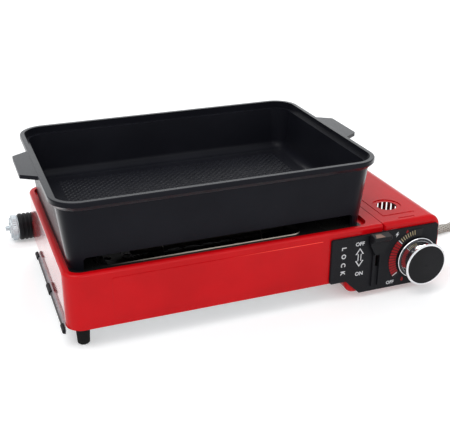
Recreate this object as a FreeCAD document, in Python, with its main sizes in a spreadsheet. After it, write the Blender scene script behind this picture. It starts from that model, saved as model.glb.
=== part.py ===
"""Long table-top gas stove: a red sheet-steel body with a cartridge bay at its right end, a black
control panel, and a cast roasting pan that stands on four legs in the sunk top of the body."""

import FreeCAD, Part
import math
import os
import types

import Sketcher

doc = FreeCAD.newDocument("stove")
sheet = doc.addObject("Spreadsheet::Sheet", "sheet")


class Size:
    """A length from the sheet, or a sum made of such lengths: its number, and its text as an expression."""

    def __init__(self, number, text=None):
        self.number = float(number)
        self.text = text or f"({float(number):.6f})"

    def _with(self, other, sign, number):
        return Size(number, f"({self.text} {sign} {as_size(other).text})")

    def __add__(self, other):
        return self._with(other, "+", self.number + as_size(other).number)

    def __sub__(self, other):
        return self._with(other, "-", self.number - as_size(other).number)

    def __mul__(self, other):
        return self._with(other, "*", self.number * as_size(other).number)

    def __truediv__(self, other):
        return self._with(other, "/", self.number / as_size(other).number)

    def __radd__(self, other):
        return as_size(other) + self

    def __rsub__(self, other):
        return as_size(other) - self

    def __rmul__(self, other):
        return as_size(other) * self

    def __neg__(self):
        return Size(-self.number, f"(0 - {self.text})")

    def __float__(self):
        return self.number


def as_size(value):
    return value if isinstance(value, Size) else Size(value)


# The driving dimensions, in millimetres or degrees. X runs along the stove from its middle, Y to the
# back from its middle, and Z up from the table.
DRIVING = dict(
    body_length=500,
    body_depth=290,
    body_corner=20,
    underside=28,
    rim_level=101,
    rim_round=4,
    sheet_steel=1.2,
    thin_sheet=1,
    clearance=0.3,
    # the sunk seat that the pan stands on, the well in it, and the pressed front field
    seat_sunk=6,
    seat_left=7,
    seat_front=7,
    seat_right=104,
    seat_corner=16,
    well_front=21,
    well_left=45,
    well_right=132,
    well_corner=14,
    liner_thick=0.8,
    liner_lip=2.4,
    liner_land=84,
    field_left=55,
    field_right=173,
    field_edge=10,
    field_corner=3,
    field_raised=0.6,
    rear_vents=10,
    rear_vent_inset=60,
    rear_vent_width=5,
    rear_vent_low=40,
    rear_vent_high=70,
    rear_vent_pitch=20,
    base_upstand=8,
    air_hole=10,
    air_hole_inset=80,
    air_holes=8,
    air_hole_pitch=26,
    # the bay for the gas cartridge
    bay_width=138,
    bay_bottom=7,
    bay_wall_top=76,
    bay_round=14,
    bay_end_round=5,
    side_slots=12,
    side_slot_width=5,
    side_slot_pitch=12,
    side_slot_from=85,
    side_slot_low=30,
    side_slot_high=68,
    # the lid of the bay and its hinge
    lid_width=88,
    lid_gap=1,
    lid_side_gap=0.4,
    lid_round=16,
    lid_skirt_low=80,
    lid_lip=10,
    lid_front_round=6,
    lid_ear=8,
    swing_room=21,
    hinge_pin=4,
    pin_play=0.05,
    bracket_drop=33,
    bracket_neck=12.5,
    bracket_thick=1.5,
    vent_diameter=27,
    vent_from_right=53,
    vent_from_front=52,
    vent_ring=6,
    vent_ring_sunk=1,
    groove_width=3,
    groove_sunk=0.6,
    groove_from_edge=10,
    groove_from_right=29,
    groove_from_front=20.5,
    short_groove=24,
    short_groove_from_front=8,
    short_groove_from_right=48.5,
    # the cast pan
    pan_from_left=201.5,
    pan_y=5,
    pan_base_length=381,
    pan_base_depth=260,
    pan_rise=92,
    pan_taper=9,
    pan_leg=17,
    pan_leg_length=16,
    pan_skirt=5,
    pan_corner=18,
    pan_floor=5,
    pan_floor_inset=1.5,
    pan_floor_round=12,
    pan_rim_rise=12,
    pan_rim_out=7,
    pan_land=6,
    pan_edge=1.5,
    pan_step_in=5,
    pan_step_down=10,
    ear_root=96,
    ear_tip=68,
    ear_reach=20,
    ear_thick=5,
    ear_down=1,
    ear_corner=4,
    # the control panel, its lever and its knob
    panel_from_right=163,
    panel_right_gap=6,
    panel_top=91,
    panel_rise=0.6,
    panel_thick=4,
    panel_wall=1.5,
    panel_corner=3,
    panel_edge=1.2,
    notch_from_right=140,
    notch_to_right=119,
    rib_width=3.6,
    rib_low=16,
    rib_high=70,
    rib_proud=2.5,
    lever_from_right=97,
    lever_width=27,
    lever_top=93,
    lever_tall=31,
    lever_neck=13,
    lever_waist=4,
    lever_round=2,
    lever_travel=22,
    lever_proud=11,
    lever_stem=5,
    stem_below_top=7,
    stem_height=20,
    slot_play=0.5,
    slide_width=24,
    slide_height=32,
    slide_thick=1.5,
    slide_finger=14,
    slide_arm=10,
    knob_from_right=37,
    knob_level=47,
    knob_diameter=59,
    knob_deep=24,
    knob_gap=1.5,
    knob_cap_diameter=54,
    knob_cap_thick=1.8,
    spindle_diameter=8,
    spindle_hole=14,
    spindle_in_valve=18,
    spindle_play=0.05,
    scale_outer=41,
    scale_inner=31,
    scale_thick=0.8,
    scale_end=59,
    scale_start=9,
    # the valve, its pipes and the cartridge's seat
    valve_width=32,
    valve_deep=31.8,
    port_back=19,
    port_reach=2,
    port_boss=12,
    regulator_diameter=42,
    regulator_nose=18,
    regulator_deep=12,
    cartridge_from_right=44,
    cartridge_level=47,
    cartridge_diameter=68,
    stop_from_front=49,
    stop_half=25,
    stop_drop=10,
    clamp_from_front=57,
    clamp_width=44,
    clamp_mouth=26,
    clamp_thick=1.5,
    clamp_arm=45,
    cradle_from_front=60,
    cradle_length=185,
    cradle_open=20,
    pipe_diameter=8,
    pipe_turn=82,
    inlet_from_front=55,
    inlet_level=49,
    inlet_thread=12,
    inlet_nut=4,
    inlet_reach=12,
    inlet_pipe_diameter=6,
    # the burners
    burner_diameter=19,
    burner_length=225,
    burner_spread=96,
    burner_level=76,
    cross_from_right=164,
    cross_width=22,
    cross_height=21,
    tube_wall=1,
    flame_slot=2,
    flame_slots=24,
    slot_from=14,
    slot_reach=6,
    mixer_length=46,
    mixer_end=14,
    mixer_throat=12,
    mixer_mouth=22,
    jet_gap=4,
    jet_length=13,
    burner_tray_low=40,
    burner_tray_slope=12,
    burner_tray_inset=10,
    burner_tray_front=3,
    burner_tray_right=20,
    burner_tray_flange=12,
    bracket_near=60,
    bracket_far=196,
    shield_left=2,
    shield_lip=4,
    # the drip tray and its rails
    tray_y=-26.5,
    tray_width=160,
    tray_length=205,
    tray_height=5.6,
    tray_play=0.4,
    tray_flange=5,
    tray_out=1,
    bead=4,
    bead_length=208,
    cap_length=12,
    grip_length=22,
    rail_inset=33,
    # feet
    foot_inset=20,
    foot_top=18,
    foot_bottom=15,
    # the hose and its connector
    hose_diameter=11.5,
    ferrule=20,
    connector_diameter=40,
    connector_length=34,
    ring_diameter=38,
    ring_length=12,
)
for row, (alias, number) in enumerate(DRIVING.items(), start=1):
    sheet.set(f"A{row}", str(number))
    sheet.setAlias(f"A{row}", alias)
doc.recompute()
S = types.SimpleNamespace(**{alias: Size(number, f"sheet.{alias}") for alias, number in DRIVING.items()})

# Places that several pieces share.
LEFT, RIGHT = -S.body_length / 2, S.body_length / 2
FRONT, BACK = -S.body_depth / 2, S.body_depth / 2
BAY_LEFT = RIGHT - S.bay_width
LID_LEFT = RIGHT - S.lid_width
DECK_RIGHT = LID_LEFT - S.lid_gap
SEAT_LEVEL = S.rim_level - S.seat_sunk
SEAT = (LEFT + S.seat_left, RIGHT - S.seat_right, FRONT + S.seat_front, BACK - S.seat_front)
WELL = (LEFT + S.well_left, RIGHT - S.well_right, FRONT + S.well_front, BACK - S.well_front)
HINGE_X, HINGE_Z = RIGHT - S.lid_round, S.rim_level - S.lid_round
PANEL_FACE = FRONT - S.panel_thick
LEVER_X = RIGHT - S.lever_from_right
KNOB_X = RIGHT - S.knob_from_right
KNOB_FRONT = PANEL_FACE - S.knob_gap - S.knob_deep
PAN_X = LEFT + S.pan_from_left
PAN_SEAT = SEAT_LEVEL + S.liner_thick
PAN_TOP = PAN_SEAT + S.pan_rise
PAN_RIM_LENGTH = S.pan_base_length + 2 * (S.pan_taper + S.pan_rim_out)
PAN_RIM_DEPTH = S.pan_base_depth + 2 * (S.pan_taper + S.pan_rim_out)
VALVE_FRONT = FRONT + S.sheet_steel
VALVE_BACK = VALVE_FRONT + S.valve_deep
PORT_Y = FRONT + S.port_back
CARTRIDGE_X = RIGHT - S.cartridge_from_right
INLET_Y = FRONT + S.inlet_from_front
CROSS_X = RIGHT - S.cross_from_right
MIXER_LEFT = CROSS_X + S.cross_width / 2
JET_X = MIXER_LEFT + S.mixer_length + S.jet_gap + S.jet_length
TRAY_TOP = S.underside - S.tray_play
TRAY_LEFT = LEFT - S.tray_out
STOP_Y = FRONT + S.stop_from_front
CLAMP_Y = FRONT + S.clamp_from_front
CRADLE_FRONT = FRONT + S.cradle_from_front
PANEL_LEFT, PANEL_RIGHT = RIGHT - S.panel_from_right, RIGHT - S.panel_right_gap
NOTCH_LEFT, NOTCH_RIGHT = RIGHT - S.notch_from_right, RIGHT - S.notch_to_right
BEAD_X, BEAD_Z = TRAY_LEFT - S.bead / 2 + 0.6, TRAY_TOP - S.bead / 2 - 1

# The stove's own origin is under the middle of its overall box: from the left ear to the hose inlet,
# and from the knob's face to the pan's back rim.
EAR_TIP_X = PAN_X - PAN_RIM_LENGTH / 2 - S.ear_reach
SHIFT_X = -(EAR_TIP_X + RIGHT + S.inlet_reach) / 2
SHIFT_Y = -(KNOB_FRONT + S.pan_y + PAN_RIM_DEPTH / 2) / 2

NODES = {}
PLANES = {"XY": "XY_Plane", "XZ": "XZ_Plane", "YZ": "YZ_Plane"}


def bind(thing, name, size):
    thing.setExpression(name, as_size(size).text)


def place(thing, node, x=0, y=0, z=0):
    """Gives a finished sub-part its label and its place in the stove's own frame."""
    thing.Label = node
    bind(thing, "Placement.Base.x", SHIFT_X + x)
    bind(thing, "Placement.Base.y", SHIFT_Y + y)
    bind(thing, "Placement.Base.z", z)
    NODES[node] = thing
    return thing


def new_body(name):
    return doc.addObject("PartDesign::Body", name)


def sketch_on(body, plane, at):
    """A sketch on one of the body's origin planes, moved along the plane's normal."""
    sketch = body.newObject("Sketcher::SketchObject", body.Name + "_outline")
    origin = [f for f in body.Origin.OriginFeatures if f.Role == PLANES[plane]][0]
    sketch.AttachmentSupport = [(origin, "")]
    sketch.MapMode = "FlatFace"
    # The XZ plane's normal points to the front, so a distance to the back is negative there.
    bind(sketch, "AttachmentOffset.Base.z", -as_size(at) if plane == "XZ" else at)
    return sketch


def fix(sketch, kind, *where, size):
    number = sketch.addConstraint(Sketcher.Constraint(kind, *where, as_size(size).number))
    sketch.setExpression(f"Constraints[{number}]", as_size(size).text)


def pin(sketch, line, end, x, y):
    """Holds a point of the sketch at two sizes from the sketch's origin."""
    for kind, size, axis in (("DistanceX", x, -2), ("DistanceY", y, -1)):
        if abs(as_size(size).number) < 1e-9:
            sketch.addConstraint(Sketcher.Constraint("PointOnObject", line, end, axis))
        else:
            fix(sketch, kind, -1, 1, line, end, size=size)


def polygon(sketch, points):
    corners = [FreeCAD.Vector(float(x), float(y), 0) for x, y in points]
    first = sketch.GeometryCount
    count = len(corners)
    for k in range(count):
        sketch.addGeometry(Part.LineSegment(corners[k], corners[(k + 1) % count]), False)
    for k in range(count):
        after = first + (k + 1) % count
        sketch.addConstraint(Sketcher.Constraint("Coincident", first + k, 2, after, 1))
        pin(sketch, first + k, 1, *points[k])


def circle(sketch, x, y, radius):
    centre = FreeCAD.Vector(float(x), float(y), 0)
    ring = sketch.addGeometry(Part.Circle(centre, FreeCAD.Vector(0, 0, 1), float(radius)), False)
    pin(sketch, ring, 3, x, y)
    fix(sketch, "Radius", ring, size=radius)


def rounded(sketch, box, radius):
    """A rectangle with round corners, from box = (low x, high x, low y, high y)."""
    x0, x1, y0, y1 = (float(value) for value in box)
    r = float(radius)
    first = sketch.GeometryCount
    centres = [(x1 - r, y1 - r), (x0 + r, y1 - r), (x0 + r, y0 + r), (x1 - r, y0 + r)]
    up = FreeCAD.Vector(0, 0, 1)
    for quarter, (x, y) in enumerate(centres):
        start = math.pi / 2 * quarter
        whole = Part.Circle(FreeCAD.Vector(x, y, 0), up, r)
        sketch.addGeometry(Part.ArcOfCircle(whole, start, start + math.pi / 2), False)
    for quarter in range(4):
        here, there = sketch.Geometry[first + quarter], sketch.Geometry[first + (quarter + 1) % 4]
        sketch.addGeometry(Part.LineSegment(here.EndPoint, there.StartPoint), False)
    for quarter in range(4):
        line = first + 4 + quarter
        sketch.addConstraint(Sketcher.Constraint("Tangent", first + quarter, 2, line, 1))
        sketch.addConstraint(Sketcher.Constraint("Tangent", line, 2, first + (quarter + 1) % 4, 1))
        flat = "Horizontal" if quarter % 2 == 0 else "Vertical"
        sketch.addConstraint(Sketcher.Constraint(flat, line))
        if quarter:
            sketch.addConstraint(Sketcher.Constraint("Equal", first, first + quarter))
    fix(sketch, "Radius", first, size=radius)
    across = (("DistanceX", 3, box[1]), ("DistanceX", 1, box[0]))
    along = (("DistanceY", 2, box[2]), ("DistanceY", 0, box[3]))
    for kind, quarter, size in across + along:
        fix(sketch, kind, -1, 1, first + quarter, 2, size=size)


def pad(body, sketch, length, back=False):
    feature = body.newObject("PartDesign::Pad", body.Name + "_pad")
    feature.Profile = sketch
    feature.Reversed = back
    bind(feature, "Length", length)
    doc.recompute()
    return feature


def pocket(body, sketch, length=None, back=False):
    """Cuts the sketch into the body, through all of it both ways where no length is given."""
    before = body.Shape.Volume
    feature = body.newObject("PartDesign::Pocket", body.Name + "_pocket")
    feature.Profile = sketch
    feature.Reversed = back
    if length is None:
        feature.Type = 1
        feature.Midplane = True
    else:
        bind(feature, "Length", length)
    doc.recompute()
    if body.Shape.Volume > before - 1e-6:
        raise ValueError(f"{feature.Name} cuts nothing")
    return feature


def revolve(body, sketch, axis):
    feature = body.newObject("PartDesign::Revolution", body.Name + "_turned")
    feature.Profile = sketch
    feature.ReferenceAxis = (sketch, [axis])
    feature.Angle = 360
    doc.recompute()
    return feature


def edges(feature, test):
    """The names of the edges whose middle and direction pass a test."""
    names = []
    for number, edge in enumerate(feature.Shape.Edges, start=1):
        middle = edge.valueAt((edge.FirstParameter + edge.LastParameter) / 2)
        box = edge.BoundBox
        if test(middle, box):
            names.append(f"Edge{number}")
    return names


def close(a, b, within=0.02):
    return abs(float(a) - float(b)) < within


def fillet(body, radius, test):
    base = body.Tip
    names = edges(base, test)
    if not names:
        raise ValueError(f"no edge to round on {body.Name}")
    rounding = body.newObject("PartDesign::Fillet", body.Name + "_round")
    rounding.Base = (base, names)
    bind(rounding, "Radius", radius)
    doc.recompute()
    return rounding


def faces(feature, test):
    return [f"Face{n}" for n, face in enumerate(feature.Shape.Faces, start=1) if test(face.BoundBox)]


def shell(body, thickness, test):
    """Hollows a solid to sheet metal, open at the faces that pass the test."""
    base = body.Tip
    hollow = body.newObject("PartDesign::Thickness", body.Name + "_sheet")
    hollow.Base = (base, faces(base, test))
    bind(hollow, "Value", thickness)
    hollow.Reversed = True
    hollow.Mode = 0
    hollow.Join = 0
    doc.recompute()
    return hollow


def corners(x0, x1, y0, y1):
    return [(x0, y0), (x1, y0), (x1, y1), (x0, y1)]


def grow(box, by):
    return (box[0] - by, box[1] + by, box[2] - by, box[3] + by)


def row(body, feature, axis, count, length):
    """Repeats a cut along one of the body's origin axes."""
    pattern = body.newObject("PartDesign::LinearPattern", body.Name + "_row")
    pattern.Originals = [feature]
    pattern.Direction = ([f for f in body.Origin.OriginFeatures if f.Role == axis][0], [""])
    bind(pattern, "Length", length)
    bind(pattern, "Occurrences", count)
    body.Tip = pattern
    doc.recompute()
    return pattern


def loft(body, kind, first, last):
    feature = body.newObject(f"PartDesign::{kind}Loft", body.Name + "_loft")
    feature.Profile = first
    feature.Sections = [last]
    feature.Ruled = True
    doc.recompute()
    return feature


def turned(node, profile, x, y, z, pointing="up"):
    """A lathe-turned piece: (radius, height) points round its own axis, which then points some way."""
    body = new_body(node)
    outline = sketch_on(body, "XZ", 0)
    polygon(outline, profile)
    revolve(body, outline, "V_Axis")
    turns = dict(
        up=((1, 0, 0), 0), front=((1, 0, 0), 90), back=((1, 0, 0), -90),
        right=((0, 1, 0), 90), left=((0, 1, 0), -90),
    )
    axis, angle = turns[pointing]
    body.Placement.Rotation = FreeCAD.Rotation(FreeCAD.Vector(*axis), angle)
    return place(body, node, x, y, z)


def group(node, pieces):
    """Several separate solids that share a node, as one compound."""
    compound = doc.addObject("Part::Compound", node)
    compound.Links = pieces
    doc.recompute()
    return place(compound, node)


# The body of the stove


def outer_shell():
    """The pressed red body: round-cornered walls, a rolled rim, and a sunk seat with the burner well."""
    body = new_body("outer_shell")
    t = S.sheet_steel
    plan = sketch_on(body, "XY", S.underside)
    rounded(plan, (LEFT, RIGHT, FRONT, BACK), S.body_corner)
    pad(body, plan, S.rim_level - S.underside)
    end = sketch_on(body, "XY", S.underside)
    polygon(end, corners(DECK_RIGHT, RIGHT + 5, FRONT - 5, BACK + 5))
    pocket(body, end, S.rim_level, back=True)
    fillet(body, S.rim_round, lambda m, b: close(m.z, S.rim_level) and not close(m.x, DECK_RIGHT))
    shell(body, t, lambda b: close(b.ZMax, S.underside) or close(b.XMin, DECK_RIGHT))
    around = sketch_on(body, "XY", SEAT_LEVEL - t)
    rounded(around, grow(SEAT, t), S.seat_corner + t)
    pad(body, around, S.seat_sunk + t)
    sunk = sketch_on(body, "XY", SEAT_LEVEL)
    rounded(sunk, SEAT, S.seat_corner)
    pocket(body, sunk, S.seat_sunk + 1, back=True)
    well = sketch_on(body, "XY", SEAT_LEVEL - t - 1)
    rounded(well, WELL, S.well_corner)
    pocket(body, well, t + 2, back=True)
    # The front is pressed out a little inside a frame line.
    raised = sketch_on(body, "XZ", FRONT + t / 2)
    low, high = S.underside + S.field_edge, S.rim_level - S.field_edge
    rounded(raised, (LEFT + S.field_left, RIGHT - S.field_right, low, high), S.field_corner)
    pad(body, raised, t / 2 + S.field_raised)
    # The walls stop where the bay's own walls begin.
    step = sketch_on(body, "XZ", 0)
    low = (BAY_LEFT - S.clearance, DECK_RIGHT + 5, S.underside - 5, S.bay_wall_top + S.clearance)
    polygon(step, corners(*low))
    pocket(body, step)
    slot = sketch_on(body, "XZ", FRONT + 5)
    polygon(slot, lever_slot())
    pocket(body, slot, 10, back=True)
    vent = sketch_on(body, "XZ", BACK - 5)
    low_x = LEFT + S.rear_vent_inset
    opening = (low_x, low_x + S.rear_vent_width, S.rear_vent_low, S.rear_vent_high)
    rounded(vent, opening, S.rear_vent_width / 2 - 0.1)
    first = pocket(body, vent, 10)
    row(body, first, "X_Axis", S.rear_vents, (S.rear_vents - 1) * S.rear_vent_pitch)
    return place(body, "outer_shell")


def seat_liner():
    """The black enamelled liner in the sunk seat, turned up round its opening over the burners. The
    opening ends well short of the pan's right end, which stands on the land that is left."""
    body = new_body("seat_liner")
    plan = sketch_on(body, "XY", SEAT_LEVEL)
    rounded(plan, grow(SEAT, -S.clearance), S.seat_corner - S.clearance)
    pad(body, plan, S.liner_thick)
    opening = (WELL[0], PAN_X + S.pan_base_length / 2 - S.liner_land, WELL[2], WELL[3])
    lip = sketch_on(body, "XY", SEAT_LEVEL)
    rounded(lip, grow(opening, S.liner_thick), S.well_corner + S.liner_thick)
    pad(body, lip, S.liner_lip)
    hole = sketch_on(body, "XY", SEAT_LEVEL - 1)
    rounded(hole, opening, S.well_corner)
    pocket(body, hole, S.liner_lip + 2, back=True)
    return place(body, "seat_liner")


def lever_slot():
    """The opening for the lever's stem, through the panel and the walls behind it."""
    half = S.lever_stem / 2 + S.slot_play
    top = S.lever_top - S.stem_below_top + S.slot_play
    bottom = top - S.stem_height - S.lever_travel - 2 * S.slot_play
    return corners(LEVER_X - half, LEVER_X + half, bottom, top)


def base_plate():
    """The galvanised underside of the burner end, turned up all round inside the red walls."""
    body = new_body("base_plate")
    inside = S.sheet_steel + S.clearance
    box = (LEFT + inside, BAY_LEFT - 2 * S.clearance, FRONT + inside, BACK - inside)
    plan = sketch_on(body, "XY", S.underside)
    rounded(plan, box, S.body_corner - inside)
    pad(body, plan, S.base_upstand)
    shell(body, S.thin_sheet, lambda b: close(b.ZMin, S.underside + S.base_upstand))
    hole = sketch_on(body, "XY", S.underside)
    for side in (-1, 1):
        circle(hole, LEFT + S.air_hole_inset, side * S.burner_spread / 2, S.air_hole / 2)
    first = pocket(body, hole, S.thin_sheet + 1, back=True)
    row(body, first, "X_Axis", S.air_holes, (S.air_holes - 1) * S.air_hole_pitch)
    return place(body, "base_plate")


def bay_shell():
    """The red trough for the cartridge, lower than the rest, with air slots in its outer wall."""
    body = new_body("bay_shell")
    profile = sketch_on(body, "XZ", BACK)
    rounded(profile, (BAY_LEFT, RIGHT, S.bay_bottom, S.rim_level), S.bay_round)
    pad(body, profile, S.body_depth)
    lid_space = sketch_on(body, "XY", S.bay_wall_top)
    polygon(lid_space, corners(BAY_LEFT - 5, RIGHT + 5, FRONT - 5, BACK + 5))
    pocket(body, lid_space, S.rim_level, back=True)
    ends = (FRONT, BACK)
    fillet(
        body,
        S.bay_end_round,
        lambda m, b: any(close(m.y, y) for y in ends) and not close(m.z, S.bay_wall_top),
    )
    shell(body, S.sheet_steel, lambda b: close(b.ZMin, S.bay_wall_top))
    slot = sketch_on(body, "YZ", RIGHT - 5)
    low_y = FRONT + S.side_slot_from - S.side_slot_width / 2
    box = (low_y, low_y + S.side_slot_width, S.side_slot_low, S.side_slot_high)
    rounded(slot, box, S.side_slot_width / 2 - 0.1)
    first = pocket(body, slot, 10, back=True)
    row(body, first, "Y_Axis", S.side_slots, (S.side_slots - 1) * S.side_slot_pitch)
    # Room for the lid's ends to swing down past the end walls.
    swing = sketch_on(body, "XZ", 0)
    right = RIGHT - S.sheet_steel - 1
    polygon(swing, corners(HINGE_X - S.swing_room, right, HINGE_Z - S.swing_room, S.rim_level))
    pocket(body, swing)
    front_holes = sketch_on(body, "XZ", FRONT + 5)
    polygon(front_holes, lever_slot())
    circle(front_holes, KNOB_X, S.knob_level, S.spindle_hole / 2)
    pocket(body, front_holes, 10, back=True)
    inlet = sketch_on(body, "YZ", RIGHT - 5)
    circle(inlet, INLET_Y, S.inlet_level, S.inlet_thread / 2 + S.clearance)
    pocket(body, inlet, 10, back=True)
    notch = sketch_on(body, "YZ", BAY_LEFT - 5)
    circle(notch, 0, S.burner_level, S.mixer_mouth / 2 + 1)
    pocket(body, notch, 10, back=True)
    return place(body, "bay_shell")


def bay_lid():
    """The hinged red lid: rolled over the right side, lipped all round, with a round vent."""
    body = new_body("bay_lid")
    side = S.lid_side_gap
    plan = sketch_on(body, "XY", S.lid_skirt_low)
    polygon(plan, corners(LID_LEFT, RIGHT, FRONT + side, BACK - side))
    pad(body, plan, S.rim_level - S.lid_skirt_low)
    fillet(body, S.lid_round, lambda m, b: close(m.x, RIGHT) and close(m.z, S.rim_level))
    ends = (FRONT + side, BACK - side)
    at_end = lambda b: any(close(b.YMin, y) and close(b.YMax, y) for y in ends)
    fillet(body, S.lid_front_round, lambda m, b: at_end(b) and float(m.z) > float(HINGE_Z))
    shell(body, S.sheet_steel, lambda b: close(b.ZMax, S.lid_skirt_low))
    trim = sketch_on(body, "XZ", 0)
    polygon(trim, corners(LID_LEFT - 5, HINGE_X - S.lid_ear, S.lid_skirt_low - 5, S.rim_level - S.lid_lip))
    pocket(body, trim)
    vent_x, vent_y = RIGHT - S.vent_from_right, FRONT + S.vent_from_front
    ring = sketch_on(body, "XY", S.rim_level - S.vent_ring_sunk)
    circle(ring, vent_x, vent_y, S.vent_diameter / 2 + S.vent_ring)
    pocket(body, ring, 5, back=True)
    vent = sketch_on(body, "XY", S.rim_level - 5)
    circle(vent, vent_x, vent_y, S.vent_diameter / 2)
    pocket(body, vent, 10, back=True)
    # A bracket-shaped groove frames the vented field, and a short one follows the front edge.
    groove = sketch_on(body, "XY", S.rim_level - S.groove_sunk)
    x0, x1 = LID_LEFT + S.groove_from_edge, RIGHT - S.groove_from_right
    y0, y1, w = FRONT + S.groove_from_front, BACK - S.groove_from_front, S.groove_width
    polygon(groove, [
        (x0, y0), (x1, y0), (x1, y0 + w), (x0 + w, y0 + w),
        (x0 + w, y1 - w), (x1, y1 - w), (x1, y1), (x0, y1),
    ])
    short = FRONT + S.short_groove_from_front
    middle = RIGHT - S.short_groove_from_right
    polygon(groove, corners(middle - S.short_groove / 2, middle + S.short_groove / 2, short, short + w))
    pocket(body, groove, 5, back=True)
    pins = sketch_on(body, "XZ", 0)
    circle(pins, HINGE_X, HINGE_Z, S.hinge_pin / 2 + S.pin_play)
    pocket(body, pins)
    return place(body, "bay_lid")


def hinge_brackets():
    """Two plates inside the bay's end walls that carry the lid's pins, necked round the lid's swing."""
    plates = []
    low, inner = HINGE_Z - S.bracket_drop, RIGHT - S.bay_end_round - S.clearance
    near, neck = HINGE_X - 2.5, HINGE_X - S.bracket_neck
    below = HINGE_Z - S.swing_room
    for name, outer, towards in (("front_bracket", FRONT, 1), ("back_bracket", BACK, -1)):
        body = new_body(name)
        wall = outer + towards * S.sheet_steel
        face = wall + towards * (S.lid_side_gap + S.clearance)
        plate = sketch_on(body, "XZ", face)
        polygon(plate, [
            (near, low), (inner, low), (inner, below - 1), (HINGE_X - 4, below + 2.4),
            (HINGE_X - 8.3, HINGE_Z - 15.6), (HINGE_X - 8, HINGE_Z - 11), (HINGE_X + 4, HINGE_Z - 6),
            (HINGE_X + 6.5, HINGE_Z), (HINGE_X + 4, HINGE_Z + 6), (HINGE_X - 5, HINGE_Z + 6.5),
            (neck, HINGE_Z - 2), (neck, below + 0.2), (near, below + 0.2),
        ])
        pad(body, plate, S.bracket_thick, back=towards > 0)
        seat = sketch_on(body, "XZ", wall)
        polygon(seat, corners(near, inner, low, below - 1))
        pad(body, seat, S.bracket_thick, back=towards > 0)
        hole = sketch_on(body, "XZ", 0)
        circle(hole, HINGE_X, HINGE_Z, S.hinge_pin / 2)
        pocket(body, hole)
        plates.append(body)
    return group("hinge_brackets", plates)


def hinge_pins():
    pins = []
    for side, outer, towards in (("front", FRONT, 1), ("back", BACK, -1)):
        body = new_body(f"{side}_pin")
        end = outer + towards * S.lid_side_gap
        shank = sketch_on(body, "XZ", end)
        circle(shank, HINGE_X, HINGE_Z, S.hinge_pin / 2)
        pad(body, shank, S.sheet_steel + S.clearance + S.bracket_thick + 1, back=towards > 0)
        pins.append(body)
    return group("hinge_pins", pins)


# The pan


def pan():
    """The cast pan: tapered walls, a collared rim with an inner step, two ears and a skirt cut into legs."""
    body = new_body("pan")
    base = (PAN_X - S.pan_base_length / 2, PAN_X + S.pan_base_length / 2,
            S.pan_y - S.pan_base_depth / 2, S.pan_y + S.pan_base_depth / 2)
    wide = grow(base, S.pan_taper)
    rim = grow(wide, S.pan_rim_out)
    rim_low = PAN_TOP - S.pan_rim_rise
    foot = sketch_on(body, "XY", PAN_SEAT)
    rounded(foot, base, S.pan_corner)
    shoulder = sketch_on(body, "XY", rim_low)
    rounded(shoulder, wide, S.pan_corner + S.pan_taper)
    loft(body, "Additive", foot, shoulder)
    collar = sketch_on(body, "XY", rim_low)
    rounded(collar, rim, S.pan_corner + S.pan_taper + S.pan_rim_out)
    pad(body, collar, S.pan_rim_rise)
    # The collar's underside slopes back into the wall, and its top edge is rounded over.
    whole = body.Tip
    slope = body.newObject("PartDesign::Chamfer", "pan_collar_slope")
    slope.Base = (whole, edges(whole, lambda m, b: close(b.ZMax, rim_low) and touches(b, rim)))
    bind(slope, "Size", S.pan_rim_out - 1)
    doc.recompute()
    fillet(body, S.pan_edge, lambda m, b: close(b.ZMin, PAN_TOP))
    for direction, x in ((-1, rim[0]), (1, rim[1])):
        ear = sketch_on(body, "XY", PAN_TOP - S.ear_thick - S.ear_down)
        start, tip = x - direction * 2, x + direction * S.ear_reach
        points = [(start, S.pan_y - S.ear_root / 2), (tip, S.pan_y - S.ear_tip / 2),
                  (tip, S.pan_y + S.ear_tip / 2), (start, S.pan_y + S.ear_root / 2)]
        polygon(ear, points)
        pad(body, ear, S.ear_thick)
        fillet(body, S.ear_corner, lambda m, b: close(m.x, tip) and close(b.YMin, b.YMax) and b.ZLength > 1)
    # Inside: the lid's step at the top, then the tapered bowl with a rounded floor.
    step = sketch_on(body, "XY", PAN_TOP - S.pan_step_down)
    rounded(step, grow(rim, -S.pan_land), S.pan_corner + S.pan_taper + S.pan_rim_out - S.pan_land)
    pocket(body, step, S.pan_step_down + 1, back=True)
    floor_level = PAN_SEAT + S.pan_leg + S.pan_floor
    floor = sketch_on(body, "XY", floor_level)
    rounded(floor, grow(base, -S.pan_floor_inset), S.pan_corner - S.pan_floor_inset)
    mouth = sketch_on(body, "XY", PAN_TOP - S.pan_step_down + 0.5)
    mouth_in = S.pan_land + S.pan_step_in
    rounded(mouth, grow(rim, -mouth_in), S.pan_corner + S.pan_taper + S.pan_rim_out - mouth_in)
    loft(body, "Subtractive", floor, mouth)
    fillet(body, S.pan_floor_round, lambda m, b: close(b.ZMin, floor_level) and close(b.ZMax, b.ZMin))
    # Underneath: a hollow inside the skirt, whose long sides are cut away between the corner legs.
    under = sketch_on(body, "XY", PAN_SEAT - 1)
    rounded(under, grow(base, -S.pan_skirt), S.pan_corner - S.pan_skirt)
    pocket(body, under, S.pan_leg + 1, back=True)
    gap = sketch_on(body, "XZ", 0)
    left, right, arch = base[0] + S.pan_leg_length, base[1] - S.pan_leg_length, PAN_SEAT + S.pan_leg
    polygon(gap, [
        (left, PAN_SEAT - 1), (right, PAN_SEAT - 1), (right, arch - 3), (right - 3, arch),
        (left + 3, arch), (left, arch - 3),
    ])
    pocket(body, gap)
    return place(body, "roasting_pan")


def touches(edge_box, box):
    """True where an edge reaches one of the four sides of a box."""
    sides = zip((edge_box.XMin, edge_box.XMax, edge_box.YMin, edge_box.YMax), box)
    return any(close(a, b, 0.5) for a, b in sides)


# The control panel


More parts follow.
